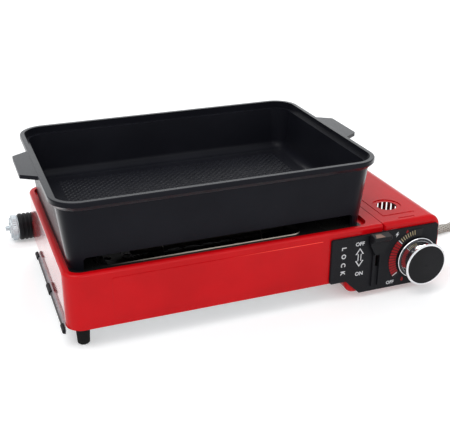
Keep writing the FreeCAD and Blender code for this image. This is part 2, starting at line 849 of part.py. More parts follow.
def control_panel():
    """The black cover of the controls: a shallow cap, stepped down to the bay's lower edge."""
    body = new_body("control_panel")
    outline = sketch_on(body, "XZ", FRONT)
    low = S.bay_bottom + S.panel_rise
    polygon(outline, [
        (PANEL_LEFT, S.underside), (NOTCH_LEFT, S.underside), (NOTCH_RIGHT, low),
        (PANEL_RIGHT, low), (PANEL_RIGHT, S.panel_top), (PANEL_LEFT, S.panel_top),
    ])
    pad(body, outline, S.panel_thick)
    upright = lambda m, b: b.YLength > 1 and not close(m.x, NOTCH_LEFT) and not close(m.x, NOTCH_RIGHT)
    fillet(body, S.panel_corner, upright)
    shell(body, S.panel_wall, lambda b: close(b.YMin, FRONT) and close(b.YMax, FRONT))
    fillet(body, S.panel_edge, lambda m, b: close(b.YMin, PANEL_FACE, 0.1) and close(b.YMax, PANEL_FACE, 0.1))
    ribs = sketch_on(body, "XZ", PANEL_FACE + S.panel_wall / 2)
    half, wide = S.lever_neck / 2, S.rib_width
    for side in (-1, 1):
        inner, outer = LEVER_X + side * (half - wide), LEVER_X + side * half
        first, last = (inner, outer) if side > 0 else (outer, inner)
        polygon(ribs, corners(first, last, S.rib_low, S.rib_high))
    pad(body, ribs, S.panel_wall / 2 + S.rib_proud)
    holes = sketch_on(body, "XZ", FRONT + 5)
    polygon(holes, lever_slot())
    circle(holes, KNOB_X, S.knob_level, S.spindle_hole / 2)
    pocket(body, holes, S.panel_thick + 10, back=True)
    return place(body, "control_panel")


def scale_plate():
    """The red dial scale: a thin sector plate round the knob, on the panel's face."""
    body = new_body("dial_scale")
    outline = sketch_on(body, "XZ", PANEL_FACE)
    circle(outline, KNOB_X, S.knob_level, S.scale_outer)
    circle(outline, KNOB_X, S.knob_level, S.scale_inner)
    pad(body, outline, S.scale_thick)
    away = sketch_on(body, "XZ", FRONT + 5)
    far = S.scale_outer + 10
    polygon(away, [
        (KNOB_X, S.knob_level), (KNOB_X - S.scale_end, S.knob_level - far),
        (KNOB_X + far, S.knob_level - far), (KNOB_X + far, S.knob_level + far),
        (KNOB_X + S.scale_start, S.knob_level + far),
    ])
    pocket(body, away, 20, back=True)
    return place(body, "dial_scale")


def cartridge_lever():
    """The black lever: a finger tab with a shelf on top, tapering down to the ribs of its track."""
    body = new_body("cartridge_lever")
    half = S.lever_width / 2
    back_face = PANEL_FACE - S.rib_proud - S.clearance
    front_face = back_face - S.lever_proud
    low = S.lever_top - S.lever_tall
    side = sketch_on(body, "YZ", LEVER_X - half)
    polygon(side, [
        (back_face, low), (back_face, S.lever_top),
        (front_face, S.lever_top - 1.5), (front_face, S.lever_top - 6),
        (back_face - S.lever_waist, S.lever_top - 13), (back_face - S.lever_waist, low + 2),
    ])
    pad(body, side, S.lever_width)
    neck = S.lever_neck / 2 + 0.5
    sides = sketch_on(body, "XZ", 0)
    for hand in (-1, 1):
        polygon(sides, [
            (LEVER_X + hand * (half + 5), low - 5), (LEVER_X + hand * neck, low - 5),
            (LEVER_X + hand * neck, low + 4), (LEVER_X + hand * half, S.lever_top - 15),
            (LEVER_X + hand * (half + 5), S.lever_top - 15),
        ])
    pocket(body, sides)
    fillet(body, S.lever_round, lambda m, b: close(b.YMin, front_face) and b.XLength < 1 and b.ZLength > 1)
    stem = sketch_on(body, "XZ", back_face)
    top = S.lever_top - S.stem_below_top
    polygon(stem, corners(LEVER_X - S.lever_stem / 2, LEVER_X + S.lever_stem / 2, top - S.stem_height, top))
    pad(body, stem, FRONT + S.sheet_steel + S.slot_play - back_face, back=True)
    return place(body, "cartridge_lever")


def lever_slide():
    """The steel slide behind the wall, fixed to the lever's stem, that works the cartridge clamp."""
    body = new_body("lever_slide")
    face = FRONT + S.sheet_steel + S.slot_play
    top = S.lever_top - S.stem_below_top + 2
    plate = sketch_on(body, "XZ", face)
    rounded(plate, (LEVER_X - S.slide_width / 2, LEVER_X + S.slide_width / 2, top - S.slide_height, top), 2.5)
    pad(body, plate, S.slide_thick, back=True)
    near, tip = LEVER_X + S.slide_width / 2 - 2, LEVER_X + S.slide_width / 2 + S.slide_finger - 3
    finger = sketch_on(body, "XZ", face)
    polygon(finger, corners(near, tip, top - S.slide_height + 3, top - 3))
    pad(body, finger, S.slide_thick, back=True)
    cam = sketch_on(body, "XZ", face)
    polygon(cam, corners(tip - 3, tip, top - S.slide_height + 3, top - 3))
    pad(body, cam, S.slide_thick + S.slide_arm, back=True)
    return place(body, "lever_slide")


def gas_knob():
    """The chromed knob: a back flange, a waisted skirt and a bright front ring, turned round its spindle."""
    radius = S.knob_diameter / 2
    deep = S.knob_deep
    rim, bore = S.knob_cap_diameter / 2, S.spindle_diameter / 2
    profile = [
        (bore, 0), (radius - 1, 0), (radius - 1, 2),
        (radius - 4, 3.5), (radius - 5.5, deep - 9), (radius - 2, deep - 4),
        (radius, deep - 2.5), (radius, deep - 1), (radius - 1, deep), (rim + 0.05, deep),
        (rim + 0.05, deep - S.knob_cap_thick), (bore, deep - S.knob_cap_thick),
    ]
    return turned("gas_knob", profile, KNOB_X, PANEL_FACE - S.knob_gap, S.knob_level, "front")


def knob_cap():
    """The black disc set into the knob's bright ring."""
    rim, thick = S.knob_cap_diameter / 2, S.knob_cap_thick
    profile = [(0, 0), (rim, 0), (rim, thick - 0.8), (rim - 0.8, thick - 0.3), (0, thick)]
    front = PANEL_FACE - S.knob_gap - S.knob_deep + thick
    return turned("knob_cap", profile, KNOB_X, front, S.knob_level, "front")


def knob_spindle():
    """The valve's steel spindle, held in the knob and turning in the valve body."""
    back = VALVE_FRONT + S.spindle_in_valve
    length = back - (PANEL_FACE - S.knob_gap - S.knob_deep + S.knob_cap_thick)
    radius = S.spindle_diameter / 2
    profile = [(0, 0), (radius - 0.5, 0), (radius, 0.5), (radius, length), (0, length)]
    return turned("knob_spindle", profile, KNOB_X, back, S.knob_level, "front")


# The gas parts


def valve_body():
    """The die-cast valve behind the panel, with the bore for the spindle and a boss for each gas port."""
    body = new_body("valve_body")
    half = S.valve_width / 2
    plan = sketch_on(body, "XZ", VALVE_BACK)
    rounded(plan, (KNOB_X - half, KNOB_X + half, S.knob_level - half, S.knob_level + half), 4)
    pad(body, plan, VALVE_BACK - VALVE_FRONT)
    fillet(body, 2, lambda m, b: close(b.YMin, b.YMax) and close(b.YMin, VALVE_FRONT))
    port = sketch_on(body, "YZ", KNOB_X - half - S.port_reach)
    circle(port, PORT_Y, S.knob_level, S.port_boss / 2)
    pad(body, port, S.valve_width + 2 * S.port_reach)
    bore = sketch_on(body, "XZ", VALVE_FRONT)
    circle(bore, KNOB_X, S.knob_level, S.spindle_diameter / 2 + S.spindle_play)
    pocket(body, bore, S.spindle_in_valve + 2)
    return place(body, "valve_body")


def regulator():
    """The round pressure regulator, with the nose that the cartridge's valve is pressed onto."""
    radius = S.regulator_diameter / 2
    nose = S.regulator_nose / 2
    deep = S.regulator_deep
    profile = [
        (0, 0), (radius - 2, 0), (radius, 2), (radius, 5),
        (radius + 1.5, 5.5), (radius + 1.5, 8), (radius - 3, 9.5), (radius - 6, deep),
        (nose, deep), (nose, deep + 7), (2.5, deep + 7), (2.5, deep + 3), (0, deep + 3),
    ]
    return turned("regulator", profile, CARTRIDGE_X, VALVE_BACK, S.cartridge_level, "back")


def cartridge_stop():
    """The galvanised cross plate at the front of the bay, cut out round the regulator's nose."""
    body = new_body("cartridge_stop")
    plate = sketch_on(body, "XZ", STOP_Y)
    low = S.bay_bottom + S.sheet_steel
    box = (CARTRIDGE_X - S.stop_half, CARTRIDGE_X + S.stop_half, low, S.bay_wall_top - S.stop_drop)
    rounded(plate, box, 6)
    pad(body, plate, S.thin_sheet)
    foot = sketch_on(body, "XY", low)
    polygon(foot, corners(box[0] + 6, box[1] - 6, STOP_Y - 9, STOP_Y))
    pad(body, foot, S.thin_sheet)
    hole = sketch_on(body, "XZ", 0)
    circle(hole, CARTRIDGE_X, S.cartridge_level, S.regulator_nose / 2 + 3)
    pocket(body, hole)
    return place(body, "cartridge_stop")


def cartridge_cradle():
    """A curved galvanised sheet that the cartridge lies on, with a foot down to the bay's floor."""
    body = new_body("cartridge_cradle")
    inner = S.cartridge_diameter / 2 + 1
    curve = sketch_on(body, "XZ", CRADLE_FRONT + S.cradle_length)
    circle(curve, CARTRIDGE_X, S.cartridge_level, inner + S.thin_sheet)
    circle(curve, CARTRIDGE_X, S.cartridge_level, inner)
    pad(body, curve, S.cradle_length)
    top = sketch_on(body, "XZ", 0)
    far, edge = inner + 10, S.cartridge_level - S.cradle_open
    polygon(top, corners(CARTRIDGE_X - far, CARTRIDGE_X + far, edge, S.cartridge_level + far))
    pocket(body, top)
    foot = sketch_on(body, "XY", S.bay_bottom + S.sheet_steel)
    near, back = CRADLE_FRONT + 5, CRADLE_FRONT + S.cradle_length - 5
    polygon(foot, corners(CARTRIDGE_X - 8, CARTRIDGE_X + 8, near, back))
    pad(body, foot, S.cartridge_level - inner - S.bay_bottom - S.sheet_steel - S.thin_sheet / 2)
    return place(body, "cartridge_cradle")


def cartridge_clamp():
    """The fork plate that grips the cartridge's collar and slides towards the regulator."""
    body = new_body("cartridge_clamp")
    fork = sketch_on(body, "XZ", CLAMP_Y)
    half = S.clamp_width / 2
    x, z, r = CARTRIDGE_X, S.cartridge_level, S.clamp_mouth / 2
    low = S.bay_bottom + S.sheet_steel + S.clearance
    polygon(fork, [
        (x - half, low), (x - r, low), (x - r, z), (x - r + 4, z + 9),
        (x + r - 4, z + 9), (x + r, z), (x + r, low), (x + half, low),
        (x + half, z + 20), (x - half, z + 20),
    ])
    pad(body, fork, S.clamp_thick)
    arm = sketch_on(body, "XZ", CLAMP_Y)
    polygon(arm, corners(x - half - 7, x - half + 2, z + 8, z + 18))
    pad(body, arm, S.clamp_thick)
    reach = sketch_on(body, "XZ", CLAMP_Y)
    polygon(reach, corners(x - half - 7, x - half - 5, z + 8, z + 18))
    pad(body, reach, S.clamp_arm)
    return place(body, "cartridge_clamp")


def cross_box():
    """The closed box across the end of both burners, with a port for each and one for the mixing tube."""
    body = new_body("cross_box")
    wide, tall, t = S.cross_width / 2, S.cross_height / 2, S.tube_wall
    reach = S.burner_spread / 2 + wide + 3
    section = (CROSS_X - wide, CROSS_X + wide, S.burner_level - tall, S.burner_level + tall)
    outline = sketch_on(body, "XZ", reach)
    rounded(outline, section, 3)
    pad(body, outline, 2 * reach)
    inside = sketch_on(body, "XZ", -(reach - t))
    rounded(inside, grow(section, -t), 2)
    pocket(body, inside, 2 * (reach - t))
    mouth = sketch_on(body, "YZ", CROSS_X)
    circle(mouth, 0, S.burner_level, S.mixer_end / 2 - t)
    pocket(body, mouth, wide + 1, back=True)
    ports = sketch_on(body, "YZ", CROSS_X)
    for side in (-1, 1):
        circle(ports, side * S.burner_spread / 2, S.burner_level, S.burner_diameter / 2 - t)
    pocket(body, ports, wide + 1)
    return place(body, "cross_box")


def mixing_tube():
    """The flared tube that draws in air round the gas jet and feeds the cross box of the burners."""
    mouth, throat, end = S.mixer_mouth / 2, S.mixer_throat / 2, S.mixer_end / 2
    t, length = S.tube_wall, S.mixer_length
    profile = [
        (end - t, 0), (end, 0), (throat, length * 0.4), (throat, length - 14),
        (mouth, length - 3), (mouth, length), (mouth - t, length), (mouth - t, length - 3),
        (throat - t, length - 14), (throat - t, length * 0.4),
    ]
    return turned("mixing_tube", profile, MIXER_LEFT, 0, S.burner_level, "right")


def burner(node, side):
    """A stainless bar burner, closed at its far end, with flame slots cut across its top."""
    body = new_body(node)
    radius = S.burner_diameter / 2
    end = CROSS_X - S.cross_width / 2
    far = end - S.burner_length
    middle = side * S.burner_spread / 2
    outline = sketch_on(body, "YZ", far)
    circle(outline, middle, S.burner_level, radius)
    pad(body, outline, S.burner_length)
    fillet(body, 3, lambda m, b: close(b.XMin, far, 0.3) and close(b.XMax, far, 0.3))
    inside = sketch_on(body, "YZ", far + S.tube_wall + 1)
    circle(inside, middle, S.burner_level, radius - S.tube_wall)
    pocket(body, inside, S.burner_length, back=True)
    slot = sketch_on(body, "XY", S.burner_level)
    low = far + S.slot_from
    polygon(slot, corners(low, low + S.flame_slot, middle - S.slot_reach, middle + S.slot_reach))
    first = pocket(body, slot, radius + 1, back=True)
    row(body, first, "X_Axis", S.flame_slots, S.burner_length - 2 * S.slot_from)
    return place(body, node)


def burner_brackets():
    """Two uprights on the burner tray's floor, each with a saddle for both burners."""
    plates = []
    low = S.burner_tray_low + S.thin_sheet
    half = S.burner_spread / 2 + S.burner_diameter / 2 + 6
    for number, x in enumerate((CROSS_X - S.bracket_near, CROSS_X - S.bracket_far)):
        body = new_body(f"bracket_{number}")
        upright = sketch_on(body, "YZ", x)
        polygon(upright, corners(-half, half, low, S.burner_level))
        pad(body, upright, S.bracket_thick)
        foot = sketch_on(body, "XY", low)
        polygon(foot, corners(x, x + 12, -half, half))
        pad(body, foot, S.bracket_thick)
        saddles = sketch_on(body, "YZ", x - 1)
        for side in (-1, 1):
            circle(saddles, side * S.burner_spread / 2, S.burner_level, S.burner_diameter / 2 + 0.1)
        pocket(body, saddles, 20, back=True)
        plates.append(body)
    return group("burner_brackets", plates)


def burner_tray():
    """The galvanised open tray round the burners, hung by its flange from the underside of the seat."""
    body = new_body("burner_tray")
    top = SEAT_LEVEL - S.sheet_steel
    inset, front = S.burner_tray_inset, S.burner_tray_front
    box = (WELL[0] + inset, CROSS_X - S.burner_tray_right, WELL[2] + front, WELL[3] - front)
    bottom = sketch_on(body, "XY", S.burner_tray_low)
    rounded(bottom, grow(box, -S.burner_tray_slope), 8)
    mouth = sketch_on(body, "XY", top)
    rounded(mouth, box, 12)
    loft(body, "Additive", bottom, mouth)
    shell(body, S.thin_sheet, lambda b: close(b.ZMin, top, 0.3))
    flange = sketch_on(body, "XY", top - S.thin_sheet)
    rounded(flange, grow(box, S.burner_tray_flange), 16)
    rounded(flange, grow(box, -S.thin_sheet), 11)
    pad(body, flange, S.thin_sheet)
    holes = sketch_on(body, "YZ", box[1] - 20)
    for side in (-1, 1):
        circle(holes, side * S.burner_spread / 2, S.burner_level, S.burner_diameter / 2 + S.clearance)
    pocket(body, holes, 30, back=True)
    drain = sketch_on(body, "XY", S.burner_tray_low - 1)
    circle(drain, LEFT + S.air_hole_inset, 0, S.air_hole / 2)
    first = pocket(body, drain, 5, back=True)
    row(body, first, "X_Axis", S.air_holes, (S.air_holes - 1) * S.air_hole_pitch)
    return place(body, "burner_tray")


def heat_shield():
    """The galvanised plate over the cross box, which keeps the flames' heat off the deck."""
    body = new_body("heat_shield")
    low = SEAT_LEVEL - S.sheet_steel - S.thin_sheet
    left = CROSS_X - S.shield_left
    plate = sketch_on(body, "XY", low)
    polygon(plate, corners(left, WELL[1] + 8, WELL[2] - 8, WELL[3] + 8))
    pad(body, plate, S.thin_sheet)
    lip = sketch_on(body, "XY", low - S.shield_lip)
    polygon(lip, corners(left, left + S.thin_sheet, WELL[2] + 2, WELL[3] - 2))
    pad(body, lip, S.shield_lip + S.thin_sheet / 2)
    return place(body, "heat_shield")


def gas_jet():
    """The brass jet in front of the mixing tube's mouth."""
    length = S.jet_length
    profile = [(0.5, 0), (5, 0), (5, 6), (3, 8), (3, length - 1), (2, length), (0.5, length)]
    return turned("gas_jet", profile, JET_X, 0, S.burner_level, "left")


def pipe_shape(points, radii, radius):
    """The solid swept by a circle along straight runs, with a tangent arc at each inner point."""
    places = [FreeCAD.Vector(*(float(value) for value in point)) for point in points]
    runs = []
    last = places[0]
    for k, bend in enumerate(radii, start=1):
        before = (places[k] - places[k - 1]).normalize()
        after = (places[k + 1] - places[k]).normalize()
        half_turn = before.getAngle(after) / 2
        start = places[k] - before * (bend * math.tan(half_turn))
        end = places[k] + after * (bend * math.tan(half_turn))
        inward = (after - before).normalize()
        middle = places[k] + inward * (bend / math.cos(half_turn) - bend)
        runs += [Part.LineSegment(last, start).toShape(), Part.Arc(start, middle, end).toShape()]
        last = end
    runs.append(Part.LineSegment(last, places[-1]).toShape())
    wire = Part.Wire(runs)
    ring = Part.Wire(Part.makeCircle(radius, places[0], places[1] - places[0]))
    solid = wire.makePipeShell([ring], True, False)
    expected = math.pi * radius ** 2 * wire.Length
    if abs(solid.Volume / expected - 1) > 0.01:
        raise ValueError(f"the pipe's volume is {solid.Volume:.0f}, not {expected:.0f}")
    return solid


def piped(node, points, radii, diameter):
    """A sub-part swept along a route of straight runs and tangent arcs."""
    part = doc.addObject("Part::Feature", node)
    part.Shape = pipe_shape(points, radii, float(diameter) / 2)
    return place(part, node)


def gas_pipe():
    """The pipe from the valve to the jet, bent clear of the cartridge."""
    turn_x = RIGHT - S.pipe_turn
    start = (KNOB_X - S.valve_width / 2 - S.port_reach, PORT_Y, S.knob_level)
    points = [
        start, (turn_x, PORT_Y, S.knob_level), (turn_x, PORT_Y + 30, S.burner_level),
        (turn_x, 0, S.burner_level), (JET_X, 0, S.burner_level),
    ]
    return piped("gas_pipe", points, [8, 25, 0.9 * float(turn_x - JET_X)], S.pipe_diameter)


def gas_inlet():
    """The brass inlet through the bay's outer wall: inside nut, threaded stem and outside collar."""
    stem, nut, wall = S.inlet_thread / 2, S.inlet_nut, S.sheet_steel
    reach = nut + wall + S.inlet_reach
    profile = [
        (2, 0), (stem + 3, 0), (stem + 3, nut), (stem, nut), (stem, nut + wall), (stem + 3, nut + wall),
        (stem + 3, nut + wall + 4), (stem - 1, nut + wall + 5), (stem - 1, reach), (2, reach),
    ]
    return turned("gas_inlet", profile, RIGHT - wall - nut, INLET_Y, S.inlet_level, "right")


def inlet_pipe():
    """The short pipe from the inlet back to the valve's other port."""
    start_x = RIGHT - S.sheet_steel - S.inlet_nut
    turn_x = start_x - 6.3
    points = [
        (start_x, INLET_Y, S.inlet_level), (turn_x, INLET_Y, S.inlet_level), (turn_x, PORT_Y, S.knob_level),
        (KNOB_X + S.valve_width / 2 + S.port_reach, PORT_Y, S.knob_level),
    ]
    return piped("inlet_pipe", points, [6, 6], S.inlet_pipe_diameter)


def piezo_igniter():
    """The igniter clipped on top of the valve, with a terminal post at its back."""
    body = new_body("piezo_igniter")
    low = S.knob_level + S.valve_width / 2
    outline = sketch_on(body, "XZ", VALVE_BACK)
    rounded(outline, (KNOB_X - 8, KNOB_X + 8, low, low + 13), 3)
    pad(body, outline, S.valve_deep - 2)
    post = sketch_on(body, "XZ", VALVE_BACK + 5)
    circle(post, KNOB_X, low + 9, 2)
    pad(body, post, 6)
    return place(body, "piezo_igniter")


# Underneath


def feet():
    """Two tall tapered feet under the burner end, and two low pads under the bay."""
    wide, edge = S.foot_top / 2, 1.5
    narrow = S.foot_bottom / 2
    tall = [(0, 0), (narrow - edge, 0), (narrow, edge), (wide, S.underside), (0, S.underside)]
    low = [(0, 0), (wide - edge, 0), (wide, edge), (wide, S.bay_bottom), (0, S.bay_bottom)]
    near, back = FRONT + S.foot_inset, BACK - S.foot_inset
    turned("front_left_foot", tall, LEFT + S.foot_inset, near, 0)
    turned("back_left_foot", tall, LEFT + S.foot_inset, back, 0)
    turned("front_right_foot", low, RIGHT - S.bay_round - wide, near, 0)
    turned("back_right_foot", low, RIGHT - S.bay_round - wide, back, 0)


def drip_tray():
    """The galvanised tray under the burners: side flanges for its rails, a front lip and a rolled bead."""
    body = new_body("drip_tray")
    half, t = S.tray_width / 2, S.thin_sheet
    plan = sketch_on(body, "XY", TRAY_TOP - S.tray_height)
    rounded(plan, (TRAY_LEFT, TRAY_LEFT + S.tray_length, S.tray_y - half, S.tray_y + half), 5)
    pad(body, plan, S.tray_height)
    shell(body, t, lambda b: close(b.ZMin, TRAY_TOP))
    flanges = sketch_on(body, "XY", TRAY_TOP - t)
    ends = (TRAY_LEFT + 6, TRAY_LEFT + S.tray_length - 6)
    polygon(flanges, corners(*ends, S.tray_y - half - S.tray_flange, S.tray_y - half + t / 2))
    polygon(flanges, corners(*ends, S.tray_y + half - t / 2, S.tray_y + half + S.tray_flange))
    pad(body, flanges, t)
    lip = sketch_on(body, "YZ", TRAY_LEFT)
    reach = S.bead_length / 2
    polygon(lip, corners(S.tray_y - reach, S.tray_y + reach, TRAY_TOP - S.tray_height + 0.6, TRAY_TOP))
    pad(body, lip, t)
    bead = sketch_on(body, "XZ", S.tray_y + reach)
    circle(bead, BEAD_X, BEAD_Z, S.bead / 2)
    pad(body, bead, S.bead_length)
    return place(body, "drip_tray")


def tray_rails():
    """Two folded rails under the base plate that the tray's flanges run in."""
    rails = []
    top, t = S.underside, S.thin_sheet
    lip = TRAY_TOP - t - S.tray_play
    for side in (-1, 1):
        body = new_body("near_rail" if side < 0 else "far_rail")
        wall = S.tray_y + side * (S.tray_width / 2 + S.tray_flange + S.tray_play)
        section = sketch_on(body, "YZ", LEFT + S.rail_inset)
        inner = wall - side * (S.tray_flange - 2)
        polygon(section, [
            (wall + side * 8, top), (wall, top), (wall, lip), (inner, lip), (inner, lip - t),
            (wall + side * t, lip - t), (wall + side * t, top - t), (wall + side * 8, top - t),
        ])
        pad(body, section, S.tray_length - S.rail_inset)
        rails.append(body)
    return group("tray_rails", rails)


def bead_sleeve(body, low, high, thick):
    """A sleeve round the tray's bead from low to high, open where the tray's lip meets the bead."""
    outline = sketch_on(body, "XZ", high)
    circle(outline, BEAD_X, BEAD_Z, S.bead / 2 + thick)
    pad(body, outline, high - low)
    clear = sketch_on(body, "XZ", 0)
    polygon(clear, corners(TRAY_LEFT - 0.3, TRAY_LEFT + 20, BEAD_Z - 10, BEAD_Z + 10))
    pocket(body, clear)


def tray_end_caps():
    """The black caps pushed onto the ends of the tray's bead."""
    caps = []
    for name, side in (("near_cap", -1), ("far_cap", 1)):
        body = new_body(name)
        end = S.tray_y + side * S.bead_length / 2
        first, last = end - side * S.cap_length, end + side * 3
        bead_sleeve(body, *((last, first) if side < 0 else (first, last)), 1.2)
        socket = sketch_on(body, "XZ", end)
        circle(socket, BEAD_X, BEAD_Z, S.bead / 2 + 0.05)
        pocket(body, socket, S.cap_length + 1, back=side > 0)
        caps.append(body)
    return group("tray_end_caps", caps)


def tray_grip():
    """The black finger sleeve in the middle of the tray's bead."""
    body = new_body("tray_grip")
    bead_sleeve(body, S.tray_y - S.grip_length / 2, S.tray_y + S.grip_length / 2, 1.6)
    hole = sketch_on(body, "XZ", 0)
    circle(hole, BEAD_X, BEAD_Z, S.bead / 2 + 0.05)
    pocket(body, hole)
    return place(body, "tray_grip")


# The hose and its end fitting


def ferrule(node, x, y, z, pointing):
    """A crimped sleeve with three rings, tapering to the hose."""
    bore, length = S.hose_diameter / 2, S.ferrule
    profile = [(0, 0), (bore + 2, 0), (bore + 2, 5)]
    for ring in range(3):
        profile += [(bore + 1, 6 + 3.5 * ring), (bore + 2, 7.5 + 3.5 * ring)]
    profile += [(bore + 1.5, length - 1), (bore + 0.4, length), (0, length)]
    return turned(node, profile, x, y, z, pointing)


# The hose's route as steps from the inlet ferrule's end, on the table or falling to it.
HOSE_STEPS = [
    (0, 0, 0), (40, 0, 0), (98, -20, -18), (158, -42, -38), (210, -16, -43), (228, 39, -43.1),
    (202, 91, -43), (146, 108, -43.1), (92, 78, -43), (48, 67, -43.1), (4, 86, -43), (-18, 128, -43.1),
    (-16, 190, -43), (-14, 230, -43.1), (-44, 287, -43), (-106, 302, -43.1), (-182, 294, -43),
    (-262, 300, -43.1), (-342, 290, -43), (-414, 281, -39), (-462, 278, -28.5), (-493.5, 278, -28.5),
]


def gas_hose():
    """The braided hose: out of the inlet, down to the table, round the bay's end and along the back."""
    origin = (RIGHT + S.inlet_reach + S.ferrule, INLET_Y, S.inlet_level)
    points = [tuple(float(start) + step for start, step in zip(origin, steps)) for steps in HOSE_STEPS]
    places = [FreeCAD.Vector(*point) for point in points]
    radii = []
    for before, here, after in zip(places, places[1:], places[2:]):
        turn = (here - before).getAngle(after - here)
        radii.append(0.45 * min((here - before).Length, (after - here).Length) / math.tan(turn / 2))
    part = piped("gas_hose", points, radii, S.hose_diameter)
    length = part.Shape.Volume / (math.pi * (float(S.hose_diameter) / 2) ** 2)
    print("hose length", round(length), "bend radii", [round(radius) for radius in radii])
    return points[-1]


def connector(x, y, z):
    """The screw connector on the hose's far end: its ferrule, ribbed body, knurled ring and brass tip."""
    x = x - S.ferrule
    ferrule("far_ferrule", x, y, z, "right")
    radius, length = S.connector_diameter / 2, S.connector_length
    profile = [(0, 0), (radius - 2, 0), (radius, 2)]
    groove = radius - 1.2
    for start in range(6, 30, 6):
        profile += [(radius, start), (groove, start + 1), (groove, start + 2), (radius, start + 3)]
    profile += [(radius, length - 4), (radius - 6, length), (0, length)]
    turned("connector_body", profile, x - length, y, z, "right")
    radius, length = S.ring_diameter / 2, S.ring_length
    x = x - S.connector_length - length
    profile = [(5, 0), (radius - 1, 0), (radius, 1), (radius, length - 1), (radius - 1, length), (5, length)]
    turned("connector_ring", profile, x, y, z, "right")
    tip = [
        (1.5, -6.5), (3, -6.5), (3.5, -5.5), (3.5, -1), (8, -1), (8, 0),
        (4.9, 0), (4.9, length), (1.5, length),
    ]
    turned("connector_tip", tip, x, y, z, "right")


outer_shell()
seat_liner()
base_plate()
bay_shell()
bay_lid()
hinge_brackets()
hinge_pins()
pan()
control_panel()
scale_plate()
cartridge_lever()
lever_slide()
gas_knob()
knob_cap()
knob_spindle()
valve_body()
regulator()
cartridge_stop()
cartridge_cradle()
cartridge_clamp()
cross_box()
mixing_tube()
burner("front_burner", -1)
burner("back_burner", 1)
burner_brackets()
burner_tray()
heat_shield()
gas_jet()
gas_pipe()
gas_inlet()
inlet_pipe()
piezo_igniter()
feet()
drip_tray()
tray_rails()
tray_end_caps()
tray_grip()
ferrule("inlet_ferrule", RIGHT + S.inlet_reach, INLET_Y, S.inlet_level, "right")
connector(*gas_hose())

doc.recompute()
for thing in doc.Objects:
    if "Invalid" in thing.State or "Error" in thing.State:
        raise ValueError(f"{thing.Name} has not been made: {thing.State}")
os.makedirs("parts", exist_ok=True)
for node, thing in NODES.items():
    shape = thing.Shape
    if shape.isNull() or not shape.isValid() or not shape.Solids:
        raise ValueError(f"{node} is not a sound solid")
    shape.exportStep(f"parts/{node}.step")
print(len(NODES), "nodes")
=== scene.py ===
"""The looks of a long table-top gas stove: red enamelled sheet steel, a cast roasting pan on its sunk
seat, a black control panel with a chromed knob, and a braided hose that lies round it on the table."""

import math

import bpy
import numpy as np
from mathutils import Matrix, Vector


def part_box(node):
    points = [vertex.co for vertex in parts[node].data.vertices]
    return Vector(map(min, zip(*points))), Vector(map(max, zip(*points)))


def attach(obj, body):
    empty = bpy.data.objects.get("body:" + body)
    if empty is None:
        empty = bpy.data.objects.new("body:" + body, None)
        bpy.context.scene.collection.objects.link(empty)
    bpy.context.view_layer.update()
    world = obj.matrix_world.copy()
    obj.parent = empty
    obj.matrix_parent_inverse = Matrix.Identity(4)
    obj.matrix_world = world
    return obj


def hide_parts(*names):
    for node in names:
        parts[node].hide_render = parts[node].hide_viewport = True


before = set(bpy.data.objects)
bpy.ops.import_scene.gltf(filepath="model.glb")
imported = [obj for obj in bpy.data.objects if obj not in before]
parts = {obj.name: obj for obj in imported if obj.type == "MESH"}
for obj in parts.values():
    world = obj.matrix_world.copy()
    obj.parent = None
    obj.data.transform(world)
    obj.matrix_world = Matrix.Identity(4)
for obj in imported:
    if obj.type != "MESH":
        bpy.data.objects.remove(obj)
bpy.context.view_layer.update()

# The camera stands to the left of the front, a little over a metre away, and looks down on the pan.
CAMERA_PLACE = (-0.35098, -0.93967, 0.54015)
CAMERA_TURN = (65.62, 0.0, -20.49)
LENS = 64.34

lens = bpy.data.cameras.new("lens")
lens.lens = LENS
lens.sensor_width = 36
lens.sensor_fit = "HORIZONTAL"
lens.clip_start = 0.01
camera = bpy.data.objects.new("camera", lens)
camera.location = CAMERA_PLACE
camera.rotation_euler = [math.radians(angle) for angle in CAMERA_TURN]
bpy.context.scene.collection.objects.link(camera)
bpy.context.scene.camera = camera
bpy.context.scene.view_settings.view_transform = "Standard"


# The gas hose: rubber inside a cover braided from pale grey yarn, held at both ends in crimped zinc
# ferrules. It leaves the inlet in the right wall and lies loose round the bay and along the back.
HOSE_THICK = 0.0115
HOSE_START = (0.2885, -0.07825, 0.049)
HOSE_STEPS = [
    (0, 0, 0), (40, 0, 0), (98, -20, -18), (158, -42, -38), (210, -16, -43), (228, 39, -43.1),
    (202, 91, -43), (146, 108, -43.1), (92, 78, -43), (48, 67, -43.1), (4, 86, -43), (-18, 128, -43.1),
    (-16, 190, -43), (-14, 230, -43.1), (-44, 287, -43), (-106, 302, -43.1), (-182, 294, -43),
    (-262, 300, -43.1), (-342, 290, -43), (-414, 281, -39), (-462, 278, -28.5), (-493.5, 278, -28.5),
]
STRANDS_ROUND = 10
STRAND_STEP = 0.0075
STRAND_PROUD = 0.00022
RING_EVERY, RING_POINTS = 0.00095, 48


def add_piece(name, points, quads, uv=None, smooth=True):
    """A mesh object from an array of points and an array of four corner numbers for each face. The
    UV of a corner is that of its point."""
    mesh = bpy.data.meshes.new(name)
    mesh.from_pydata(points.reshape(-1, 3), [], quads.reshape(-1, 4).tolist())
    if smooth:
        mesh.shade_smooth()
    else:
        mesh.shade_flat()
    if uv is not None:
        layer = mesh.uv_layers.new(name="surface")
        corners = np.empty(len(mesh.loops), int)
        mesh.loops.foreach_get("vertex_index", corners)
        layer.data.foreach_set("uv", uv.reshape(-1, 2)[corners].astype(np.float32).ravel())
    piece = bpy.data.objects.new(name, mesh)
    bpy.context.scene.collection.objects.link(piece)
    return piece


